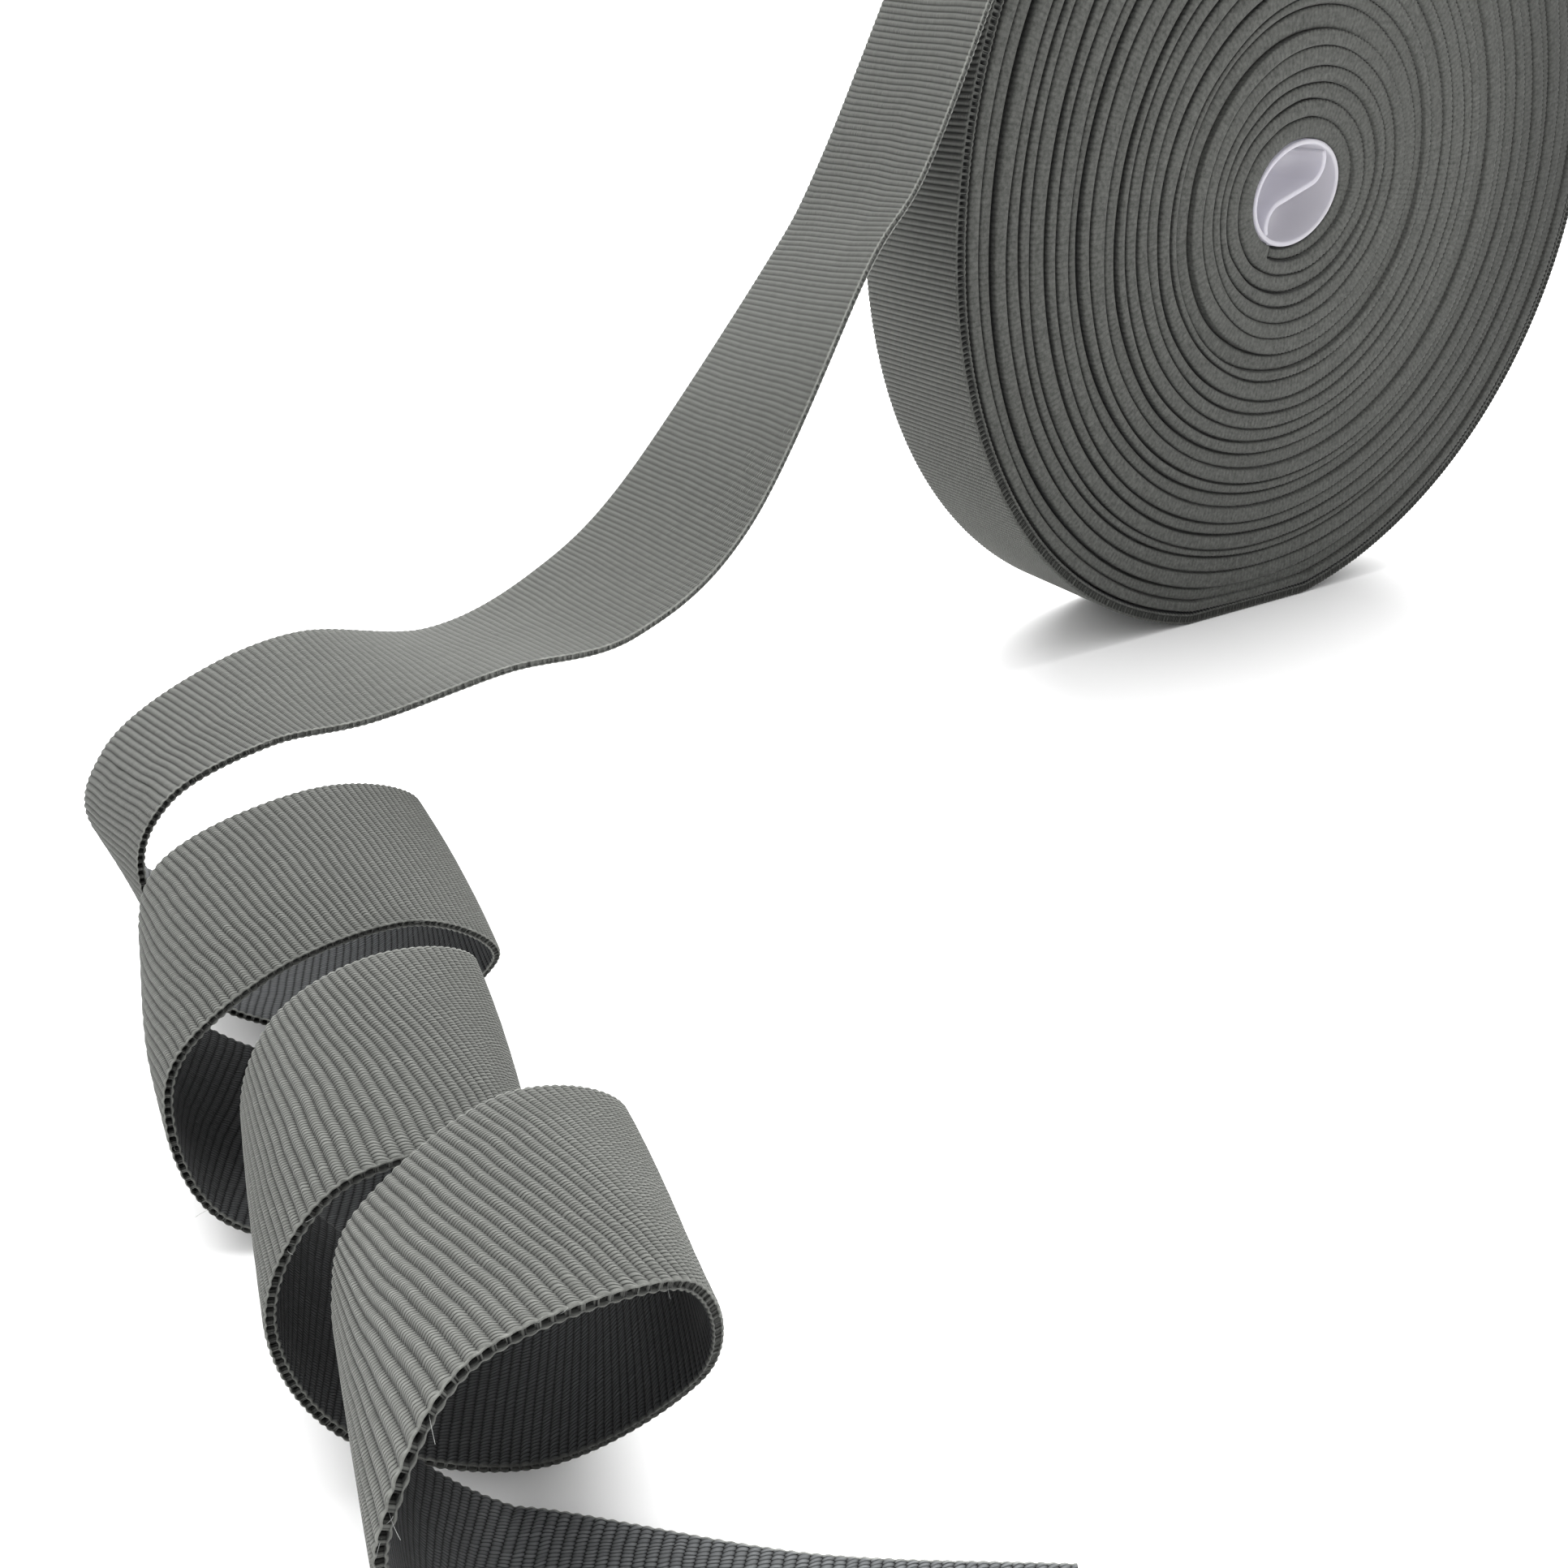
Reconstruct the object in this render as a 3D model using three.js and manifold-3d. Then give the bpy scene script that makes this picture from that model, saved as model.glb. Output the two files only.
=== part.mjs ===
// A roll of 25 mm grosgrain ribbon standing on its rim, its loose end curling away in three open coils.
// Millimetres, +Z up. The roll's axis lies along Y, its near face looks to -Y, and the origin is the
// middle of the flat spot on which the roll stands.
import * as THREE from "three";
import Module from "manifold-3d";

// The ribbon
const RIBBON_WIDTH = 25;
const RIBBON_THICKNESS = 1.6;
const HALF_WIDTH = RIBBON_WIDTH / 2;

// The wound roll
const ROLL_CENTRE_HEIGHT = 80.15;
const ROLL_RADIUS = 81.85;
const ROLL_LOBES = [
  { waves: 2, cosine: -0.2, sine: -2.2 },
  { waves: 3, cosine: 1.0, sine: -1.0 },
];
const ROLL_COLUMNS = 180;
const DEPARTURE_ANGLE = 146;
const OUTER_STEP = 2.0;
const STEP_SPAN_ANGLE = 0.3;
const BORE_CLEARANCE = 0.3;

// How far the turns sink behind the roll's near face, from the bore outwards
const BORE_DEPTH = 2.4;
const DISH = [
  { radius: 21, depth: 1.2 },
  { radius: 31, depth: 0.9 },
  { radius: 42, depth: 0 },
];

// The core, a plastic tube pressed oval by the ribbon, with an S-shaped web
const CORE_HALF_LONG = 11.1;
const CORE_HALF_SHORT = 8.9;
const CORE_LEAN_ANGLE = 15;
const CORE_WALL = 0.9;
const CORE_SETBACK = 2.7;
const CORE_FAR_SETBACK = 1.3;
const CORE_SEGMENTS = 64;
const WEB_THICKNESS = 0.8;
const WEB_TILT_ANGLE = 20;
const WEB_HALF_STRAIGHT = 4.3;
const WEB_BEND_RADIUS = 3.8;
const WEB_BEND_ANGLE = 112;
const WEB_BEND_STEPS = 12;

// The loose end's run from the roll to its first coil: one row for each cross-section. x, y, z place the
// middle of the outer face. heading (round Z from +X) and tilt (above level) aim the near edge, in degrees.
const TAPE = [
  { x: -71.5, y: -1.5, z: 126.5, heading: -89, tilt: 2 },
  { x: -92, y: -5.5, z: 90, heading: -84, tilt: 4 },
  { x: -105, y: -8.5, z: 75, heading: -83, tilt: 8 },
  { x: -132, y: -16.5, z: 46, heading: -71, tilt: -4 },
  { x: -152, y: -22, z: 36, heading: -78, tilt: -4 },
  { x: -170, y: -24, z: 34, heading: -85, tilt: 6 },
  { x: -188, y: -25.5, z: 35, heading: -85, tilt: -7 },
  { x: -202, y: -27, z: 34, heading: -80, tilt: 1 },
  { x: -214, y: -29.5, z: 29.5, heading: -82, tilt: 8 },
];

// The open coils, a row for each turn, taken at its leftmost place. The turn is an oval of this centre,
// half width and height. y is its place along the coils, and its right side trails by lean. heading and
// tilt aim the coils' axis.
const COIL_TURNS = [
  { centre: -196.5, halfWidth: 22, height: 33.5, y: -33, lean: 3.5, heading: -86.5, tilt: -0.5 },
  { centre: -206, halfWidth: 14.5, height: 25.5, y: -66, lean: 3, heading: -96.5, tilt: -12 },
  { centre: -205.5, halfWidth: 13.5, height: 29, y: -101, lean: 5, heading: -100, tilt: 1.5 },
  { centre: -203.5, halfWidth: 15.5, height: 33, y: -126.8, lean: 0.8, heading: -99, tilt: 12 },
];
const COIL_LIFT = 2;
const COIL_SQUARENESS = 0.6;
const COIL_LEAN_ANGLE = 36;
const COIL_FIRST_ANGLE = 180;
const COIL_SECTIONS = 18;
const COIL_SECTION_ANGLE = 60;

// The cut end, lying on the surface: rows as in the run from the roll.
const TAIL = [
  { x: -218, y: -127, z: 27, heading: -98.5, tilt: 12.5 },
  { x: -218, y: -127.6, z: 17.4, heading: -99.5, tilt: 15 },
  { x: -215.8, y: -129.9, z: 9.5, heading: -104, tilt: 17 },
  { x: -211, y: -133.8, z: 1.2, heading: -120, tilt: 9 },
  { x: -195.5, y: -148, z: 0, heading: -126, tilt: 0 },
  { x: -178, y: -160, z: 0, heading: -124, tilt: 0 },
];
const STATIONS_PER_SECTION = 8;
const SPANS_ACROSS = 2;

const radians = THREE.MathUtils.degToRad;

// Faces of a closed band of point rings: each ring joins the next, and the last joins the first if closed.
function bandGeometry(rings, closed) {
  const around = rings[0].length;
  const positions = rings.flat().flatMap((point) => point.toArray());
  const indices = [];
  const bands = closed ? rings.length : rings.length - 1;
  for (let i = 0; i < bands; i++) {
    const here = i * around;
    const next = ((i + 1) % rings.length) * around;
    for (let j = 0; j < around; j++) {
      const k = (j + 1) % around;
      indices.push(here + j, here + k, next + k);
      indices.push(here + j, next + k, next + j);
    }
  }
  if (!closed) {
    const last = (rings.length - 1) * around;
    indices.push(...capFaces(around).flatMap(([a, b, c]) => [a, c, b]));
    indices.push(...capFaces(around).flatMap(([a, b, c]) => [last + a, last + b, last + c]));
  }
  const geometry = new THREE.BufferGeometry();
  geometry.setAttribute("position", new THREE.Float32BufferAttribute(positions, 3));
  geometry.setIndex(indices);
  geometry.computeVertexNormals();
  return geometry;
}

// Triangles that close a flat ring whose two long sides run opposite each other.
function capFaces(around) {
  const faces = [];
  for (let j = 0; j < around / 2 - 1; j++) {
    faces.push([j, j + 1, around - 1 - j]);
    faces.push([j + 1, around - 2 - j, around - 1 - j]);
  }
  return faces;
}

// Radius of the roll's outside at an angle in degrees: a slightly squashed round that grows by one turn
// of ribbon on its way round to the place where the loose end leaves.
function rollRadius(angle) {
  const turned = (angle - DEPARTURE_ANGLE) / 360;
  const lobes = ROLL_LOBES.map(({ waves, cosine, sine }) => {
    const phase = radians(waves * angle);
    return cosine * Math.cos(phase) + sine * Math.sin(phase);
  });
  return ROLL_RADIUS + OUTER_STEP * turned + lobes.reduce((sum, lobe) => sum + lobe, 0);
}

// Radius of the oval bore round the core at an angle in degrees.
function boreRadius(angle) {
  const lean = radians(angle - CORE_LEAN_ANGLE);
  const long = CORE_HALF_LONG + BORE_CLEARANCE;
  const short = CORE_HALF_SHORT + BORE_CLEARANCE;
  return (long * short) / Math.hypot(short * Math.cos(lean), long * Math.sin(lean));
}

// The roll: its outline swept round a bored section, dished round the core and flattened underneath.
function rollGeometry() {
  const sweep = 360 - STEP_SPAN_ANGLE;
  const rings = [];
  for (let i = 0; i <= ROLL_COLUMNS; i++) {
    const angle = DEPARTURE_ANGLE + (sweep * i) / ROLL_COLUMNS;
    const bore = boreRadius(angle);
    const rim = rollRadius(angle);
    const section = [
      [bore, BORE_DEPTH - HALF_WIDTH],
      ...DISH.map(({ radius, depth }) => [radius, depth - HALF_WIDTH]),
      [rim, -HALF_WIDTH],
      [rim, HALF_WIDTH],
      [bore, HALF_WIDTH],
    ];
    rings.push(
      section.map(([radius, y]) => {
        const x = radius * Math.cos(radians(angle));
        const z = ROLL_CENTRE_HEIGHT + radius * Math.sin(radians(angle));
        return new THREE.Vector3(x, y, Math.max(z, 0));
      }),
    );
  }
  return bandGeometry(rings, true);
}

// Middle line of the core's web as points in the plane of its end, from one wall to the other.
function webLine() {
  const bend = new THREE.Path();
  bend.moveTo(0, 0);
  bend.lineTo(WEB_HALF_STRAIGHT, 0);
  const turned = radians(WEB_BEND_ANGLE) - Math.PI / 2;
  bend.absarc(WEB_HALF_STRAIGHT, WEB_BEND_RADIUS, WEB_BEND_RADIUS, -Math.PI / 2, turned, false);
  const half = bend.getPoints(WEB_BEND_STEPS).slice(1);
  const mirrored = half.map((point) => point.clone().negate()).reverse();
  const tilt = radians(WEB_TILT_ANGLE);
  const centre = new THREE.Vector2();
  return [...mirrored, ...half].map((point) => point.rotateAround(centre, tilt));
}

// The web's outline: its middle line moved half a thickness to each side.
function webShape() {
  const line = webLine();
  const sides = [1, -1].map((side) =>
    line.map((point, i) => {
      const before = line[Math.max(i - 1, 0)];
      const after = line[Math.min(i + 1, line.length - 1)];
      const along = after.clone().sub(before).normalize();
      const offset = (side * WEB_THICKNESS) / 2;
      return new THREE.Vector2(point.x - along.y * offset, point.y + along.x * offset);
    }),
  );
  return new THREE.Shape([...sides[1], ...sides[0].reverse()]);
}

// The core's oval outline, drawn in by an inset.
function ovalShape(inset) {
  const oval = new THREE.Shape();
  const [long, short] = [CORE_HALF_LONG - inset, CORE_HALF_SHORT - inset];
  oval.absellipse(0, 0, long, short, 0, 2 * Math.PI, false, radians(CORE_LEAN_ANGLE));
  return oval;
}

// A flat shape drawn in the roll's X-Z plane, extruded along Y over the core's length.
function coreExtrusion(shape) {
  const depth = RIBBON_WIDTH - CORE_SETBACK - CORE_FAR_SETBACK;
  const options = { depth, bevelEnabled: false, curveSegments: CORE_SEGMENTS };
  const geometry = new THREE.ExtrudeGeometry(shape, options);
  geometry.rotateX(Math.PI / 2);
  geometry.translate(0, HALF_WIDTH - CORE_FAR_SETBACK, ROLL_CENTRE_HEIGHT);
  return geometry;
}

const wasm = await Module();
wasm.setup();

// A closed three.js geometry as a manifold-3d solid.
function solidFrom(geometry) {
  const flat = geometry.index ? geometry.toNonIndexed() : geometry;
  const vertProperties = new Float32Array(flat.getAttribute("position").array);
  const triVerts = new Uint32Array(vertProperties.length / 3).map((_, i) => i);
  const mesh = new wasm.Mesh({ numProp: 3, vertProperties, triVerts });
  mesh.merge();
  return new wasm.Manifold(mesh);
}

// A manifold-3d solid as a three.js geometry.
function geometryFrom(solid) {
  const mesh = solid.getMesh();
  const geometry = new THREE.BufferGeometry();
  geometry.setAttribute("position", new THREE.BufferAttribute(mesh.vertProperties, 3));
  geometry.setIndex(new THREE.BufferAttribute(mesh.triVerts, 1));
  const faceted = geometry.toNonIndexed();
  faceted.computeVertexNormals();
  return faceted;
}

// The core: a tube joined to its web, which is first cut to end inside the tube's wall.
function coreGeometry() {
  const tubeShape = ovalShape(0);
  tubeShape.holes.push(ovalShape(CORE_WALL));
  const tube = solidFrom(coreExtrusion(tubeShape));
  const limit = solidFrom(coreExtrusion(ovalShape(CORE_WALL / 2)));
  const web = solidFrom(coreExtrusion(webShape())).intersect(limit);
  return geometryFrom(tube.add(web));
}

// The value at a share of the way from b to c on a smooth curve through four values in a row.
function between(a, b, c, d, share) {
  const cubic = 3 * b - a - 3 * c + d;
  const square = 2 * a - 5 * b + 4 * c - d;
  return (((cubic * share + square) * share + c - a) * share) / 2 + b;
}

// The vector at a share of the way between rows i and i + 1 of a list, on a smooth curve through them all.
function through(rows, i, share) {
  const last = rows.length - 1;
  const before = i > 0 ? rows[i - 1] : rows[0].clone().multiplyScalar(2).sub(rows[1]);
  const after = i < last - 1 ? rows[i + 2] : rows[last].clone().multiplyScalar(2).sub(rows[last - 1]);
  const four = [before, rows[i], rows[i + 1], after];
  const along = (axis) => between(...four.map((row) => row[axis]), share);
  return new THREE.Vector3(along("x"), along("y"), along("z"));
}

// The unit vector that points along a heading and a tilt in degrees.
function aimed({ heading, tilt }) {
  return new THREE.Vector3(1, 0, 0)
    .applyAxisAngle(new THREE.Vector3(0, -1, 0), radians(tilt))
    .applyAxisAngle(new THREE.Vector3(0, 0, 1), radians(heading));
}

// One of the sizes in COIL_TURNS at an angle in degrees, changing smoothly from turn to turn.
function coilSize(name, angle) {
  const turned = (angle - COIL_FIRST_ANGLE) / 360;
  const i = THREE.MathUtils.clamp(Math.floor(turned), 0, COIL_TURNS.length - 2);
  const sizes = COIL_TURNS.map((turn) => turn[name]);
  const last = sizes.length - 1;
  const before = i > 0 ? sizes[i - 1] : 2 * sizes[0] - sizes[1];
  const after = i < last - 1 ? sizes[i + 2] : 2 * sizes[last] - sizes[last - 1];
  return between(before, sizes[i], sizes[i + 1], after, turned - i);
}

// The middle of the ribbon's outer face on the coils at an angle in degrees, which is 0 on the right,
// 90 at the top and 180 on the left.
function coilPoint(angle) {
  const turn = radians(angle);
  const square = COIL_SQUARENESS * Math.cos(2 * turn);
  const x = coilSize("centre", angle) + coilSize("halfWidth", angle) * Math.cos(turn) + square;
  const z = (coilSize("height", angle) / 2) * (1 + Math.sin(turn)) + square + COIL_LIFT;
  const y = coilSize("y", angle) - coilSize("lean", angle) * Math.cos(turn - radians(COIL_LEAN_ANGLE));
  return new THREE.Vector3(x, y, z);
}

// The cross-section of the coils at an angle in degrees: its ribs lie along the coils' axis, turned
// square to the ribbon's run.
function coilSection(angle) {
  const run = coilPoint(angle + 1).sub(coilPoint(angle - 1)).normalize();
  const axis = aimed({ heading: coilSize("heading", angle), tilt: coilSize("tilt", angle) });
  return { middle: coilPoint(angle), edge: axis.addScaledVector(run, -axis.dot(run)).normalize() };
}

// The middle and the near edge's direction of a row of TAPE or TAIL.
function rowSection(row) {
  return { middle: new THREE.Vector3(row.x, row.y, row.z), edge: aimed(row) };
}

// Every cross-section of the loose end, from the roll to the cut end.
function looseEndSections() {
  const coils = [];
  for (let i = 0; i < COIL_SECTIONS; i++) {
    coils.push(coilSection(COIL_FIRST_ANGLE + COIL_SECTION_ANGLE * i));
  }
  return [...TAPE.map(rowSection), ...coils, ...TAIL.map(rowSection)];
}

// The loose end: a strip of even width and thickness through its cross-sections, kept above the surface.
// Its outer face passes through the sections' middles, and its thickness lies inside the coils.
function looseEndGeometry() {
  const sections = looseEndSections();
  const middles = sections.map(({ middle }) => middle);
  const edges = sections.map(({ edge }) => edge);
  const stations = [];
  for (let i = 0; i < sections.length - 1; i++) {
    for (let j = 0; j < STATIONS_PER_SECTION; j++) {
      stations.push([i, j / STATIONS_PER_SECTION]);
    }
  }
  stations.push([sections.length - 2, 1]);
  const lines = stations.map(([i, share]) => ({
    middle: through(middles, i, share),
    edge: through(edges, i, share).normalize(),
  }));
  const outer = lines.map(({ middle, edge }) => {
    const across = [];
    for (let k = 0; k <= SPANS_ACROSS; k++) {
      const reach = RIBBON_WIDTH * (0.5 - k / SPANS_ACROSS);
      across.push(middle.clone().addScaledVector(edge, reach));
    }
    return across;
  });
  const rings = outer.map((across, i) => {
    const before = outer[Math.max(i - 1, 0)];
    const after = outer[Math.min(i + 1, outer.length - 1)];
    const inner = across.map((point, k) => {
      const along = after[k].clone().sub(before[k]);
      const outward = along.cross(lines[i].edge).normalize();
      return point.clone().addScaledVector(outward, -RIBBON_THICKNESS);
    });
    const lift = across.map((point, k) => Math.max(0, -point.z, -inner[k].z));
    across.forEach((point, k) => (point.z += lift[k]));
    inner.forEach((point, k) => (point.z += lift[k]));
    return [...across, ...inner.reverse()];
  });
  return bandGeometry(rings, false);
}

function piece(name, geometry, material) {
  const mesh = new THREE.Mesh(geometry, material);
  mesh.name = name;
  return mesh;
}

function ribbonMaterial() {
  return new THREE.MeshStandardMaterial({ color: 0x6e706c, roughness: 0.85, metalness: 0 });
}

function coreMaterial() {
  return new THREE.MeshStandardMaterial({ color: 0xe4e2ea, roughness: 0.4, metalness: 0 });
}

const ribbonRoll = new THREE.Group();
ribbonRoll.add(piece("roll", rollGeometry(), ribbonMaterial()));
ribbonRoll.add(piece("core", coreGeometry(), coreMaterial()));
ribbonRoll.add(piece("loose_end", looseEndGeometry(), ribbonMaterial()));

export default ribbonRoll;
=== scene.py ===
"""A roll of grey grosgrain ribbon standing on its rim, its loose end curling away in three coils.

The ribbon is one strip. It starts at the plastic core, winds outwards turn on turn, makes the
roll's outermost turn and runs on as the loose end. Its cloth has cross ribs, warp stitches over
the ribs and a selvedge of small open loops. Sizes of the ribbon are in millimetres and the meshes
in metres.
"""

import logging
import math
import random
from dataclasses import astuple, dataclass, field, replace
from enum import Enum

import bmesh
import bpy
import numpy as np
from mathutils import Matrix, Vector


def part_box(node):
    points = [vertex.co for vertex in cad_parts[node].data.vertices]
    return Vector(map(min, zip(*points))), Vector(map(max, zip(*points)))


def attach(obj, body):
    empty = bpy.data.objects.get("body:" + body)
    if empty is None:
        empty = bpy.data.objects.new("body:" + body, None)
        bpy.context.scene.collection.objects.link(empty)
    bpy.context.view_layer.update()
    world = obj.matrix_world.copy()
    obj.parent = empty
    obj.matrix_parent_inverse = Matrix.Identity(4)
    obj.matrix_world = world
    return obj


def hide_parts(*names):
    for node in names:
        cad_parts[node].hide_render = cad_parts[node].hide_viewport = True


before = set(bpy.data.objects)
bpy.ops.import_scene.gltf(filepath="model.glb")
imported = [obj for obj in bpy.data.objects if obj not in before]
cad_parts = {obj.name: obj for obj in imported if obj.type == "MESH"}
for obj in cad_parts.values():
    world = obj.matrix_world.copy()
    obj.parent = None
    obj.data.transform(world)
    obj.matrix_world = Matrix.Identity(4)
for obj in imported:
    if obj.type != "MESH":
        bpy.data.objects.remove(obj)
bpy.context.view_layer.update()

MM = 0.001
RIB_PITCH = 0.94
CORE_HALF_LONG = 11.1
CORE_HALF_SHORT = 8.9
CORE_LEAN = 15.0
log = logging.getLogger("ribbon")


class Slot(Enum):
    """Names of material slots for the object's pieces; the pieces here are given their materials
    without them.
    """

    RIBBON = "ribbon"
    CORE = "core_plastic"


class Held(Enum):
    """How a length of the ribbon is held."""

    LAID = "laid"
    WOUND = "stretched"


# ---------------------------------------------------------------- shader graph


class Signal:
    """A number that varies over a surface: a shader socket that takes part in sums and products."""

    def __init__(self, graph: "Graph", socket: bpy.types.NodeSocket) -> None:
        """Wraps a socket of a graph."""
        self.graph = graph
        self.socket = socket

    def __add__(self, other: "Signal | float") -> "Signal":
        """The sum."""
        return self.graph.math("ADD", self, other)

    def __radd__(self, other: float) -> "Signal":
        """The sum, with a number on the left."""
        return self.graph.math("ADD", other, self)

    def __sub__(self, other: "Signal | float") -> "Signal":
        """The difference."""
        return self.graph.math("SUBTRACT", self, other)

    def __rsub__(self, other: float) -> "Signal":
        """The difference, with a number on the left."""
        return self.graph.math("SUBTRACT", other, self)

    def __mul__(self, other: "Signal | float") -> "Signal":
        """The product."""
        return self.graph.math("MULTIPLY", self, other)

    def __rmul__(self, other: float) -> "Signal":
        """The product, with a number on the left."""
        return self.graph.math("MULTIPLY", other, self)

    def __truediv__(self, other: "Signal | float") -> "Signal":
        """The quotient."""
        return self.graph.math("DIVIDE", self, other)

    def __pow__(self, other: float) -> "Signal":
        """The power."""
        return self.graph.math("POWER", self, other)

    def step(self, low: float, high: float) -> "Signal":
        """A smooth rise from 0 to 1.

        Args:
            low: the value up to which it is 0.
            high: the value from which it is 1.

        Returns:
            The rise.
        """
        inputs = {"Value": self, "From Min": low, "From Max": high}
        made = self.graph.node("ShaderNodeMapRange", {"interpolation_type": "SMOOTHSTEP"}, inputs)
        return Signal(self.graph, made.outputs[0])


class Graph:
    """A node tree: a new material's, or one that is given."""

    MIX_COLOUR_INPUTS = (0, 6, 7)
    MIX_COLOUR_RESULT = 2
    NOISE_ROUGHNESS = 0.6

    def __init__(self, name: str, tree: bpy.types.NodeTree | None = None) -> None:
        """Starts an empty tree.

        Args:
            name: the new material's name.
            tree: the tree to fill instead of a new material's.
        """
        if tree is None:
            self.material = bpy.data.materials.new(name)
            self.material.use_nodes = True
            tree = self.material.node_tree
        self.tree = tree
        self.tree.nodes.clear()

    def node(
        self, kind: str, settings: dict | None = None, inputs: dict | None = None
    ) -> bpy.types.Node:
        """Adds a node.

        Args:
            kind: the node's type.
            settings: its properties, set first.
            inputs: values or links by socket name or number.

        Returns:
            The new node.
        """
        made = self.tree.nodes.new(kind)
        for name, value in (settings or {}).items():
            setattr(made, name, value)
        for name, value in (inputs or {}).items():
            socket = made.inputs[name]
            source = value.socket if isinstance(value, Signal) else value
            if isinstance(source, bpy.types.NodeSocket):
                self.tree.links.new(source, socket)
            else:
                socket.default_value = source
        return made

    def math(self, operation: str, *values: "Signal | float") -> Signal:
        """A Math node's result on one or more values."""
        made = self.node("ShaderNodeMath", {"operation": operation}, dict(enumerate(values)))
        return Signal(self, made.outputs[0])

    def attribute(self, name: str) -> Signal:
        """A number stored on the mesh's points."""
        made = self.node("ShaderNodeAttribute", {"attribute_name": name})
        return Signal(self, made.outputs["Fac"])

    def noise(self, scale: float, detail: float, vector: bpy.types.NodeSocket) -> Signal:
        """Smooth noise over a vector.

        Args:
            scale: how fine it is.
            detail: how many finer layers it has.
            vector: where it is taken.

        Returns:
            The noise, from 0 to 1.
        """
        inputs = {"Vector": vector, "Scale": scale, "Detail": detail}
        inputs["Roughness"] = self.NOISE_ROUGHNESS
        return Signal(self, self.node("ShaderNodeTexNoise", {}, inputs).outputs["Fac"])

    def random(self, vector: bpy.types.NodeSocket) -> Signal:
        """A different number from 0 to 1 for every vector."""
        made = self.node("ShaderNodeTexWhiteNoise", {"noise_dimensions": "3D"}, {"Vector": vector})
        return Signal(self, made.outputs["Value"])

    def vector(self, *values: "Signal | float") -> bpy.types.NodeSocket:
        """A vector made of three numbers."""
        return self.node("ShaderNodeCombineXYZ", {}, dict(enumerate(values))).outputs[0]

    def position(self) -> bpy.types.NodeSocket:
        """The object's own coordinates, in metres."""
        return self.node("ShaderNodeTexCoord").outputs["Object"]

    def blend(self, share: "Signal | float", a: object, b: object) -> bpy.types.NodeSocket:
        """A mix of two colours or colour sockets.

        Args:
            share: how far it lies from the first to the second.
            a: the first colour.
            b: the second colour.

        Returns:
            The mixed colour's socket.
        """
        inputs = dict(zip(self.MIX_COLOUR_INPUTS, (share, a, b)))
        made = self.node("ShaderNodeMix", {"data_type": "RGBA"}, inputs)
        return made.outputs[self.MIX_COLOUR_RESULT]

    def scaled(self, colour: bpy.types.NodeSocket, factor: Signal) -> bpy.types.NodeSocket:
        """A colour times a number that varies."""
        inputs = {0: colour, "Scale": factor}
        return self.node("ShaderNodeVectorMath", {"operation": "SCALE"}, inputs).outputs[0]

    def bump(self, height: Signal, distance: float) -> bpy.types.NodeSocket:
        """A normal bent by a height from 0 to 1 that stands for a distance in metres."""
        inputs = {"Height": height, "Strength": 1.0, "Distance": distance}
        return self.node("ShaderNodeBump", {}, inputs).outputs[0]

    def close(self, shader: bpy.types.NodeSocket) -> bpy.types.Material:
        """Joins the shader to the output and returns the finished material."""
        self.node("ShaderNodeOutputMaterial", {}, {"Surface": shader})
        return self.material


def colour(red: float, green: float, blue: float) -> tuple[float, float, float, float]:
    """A linear colour from its three parts."""
    return (red, green, blue, 1.0)


# ---------------------------------------------------------------- finishes


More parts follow.
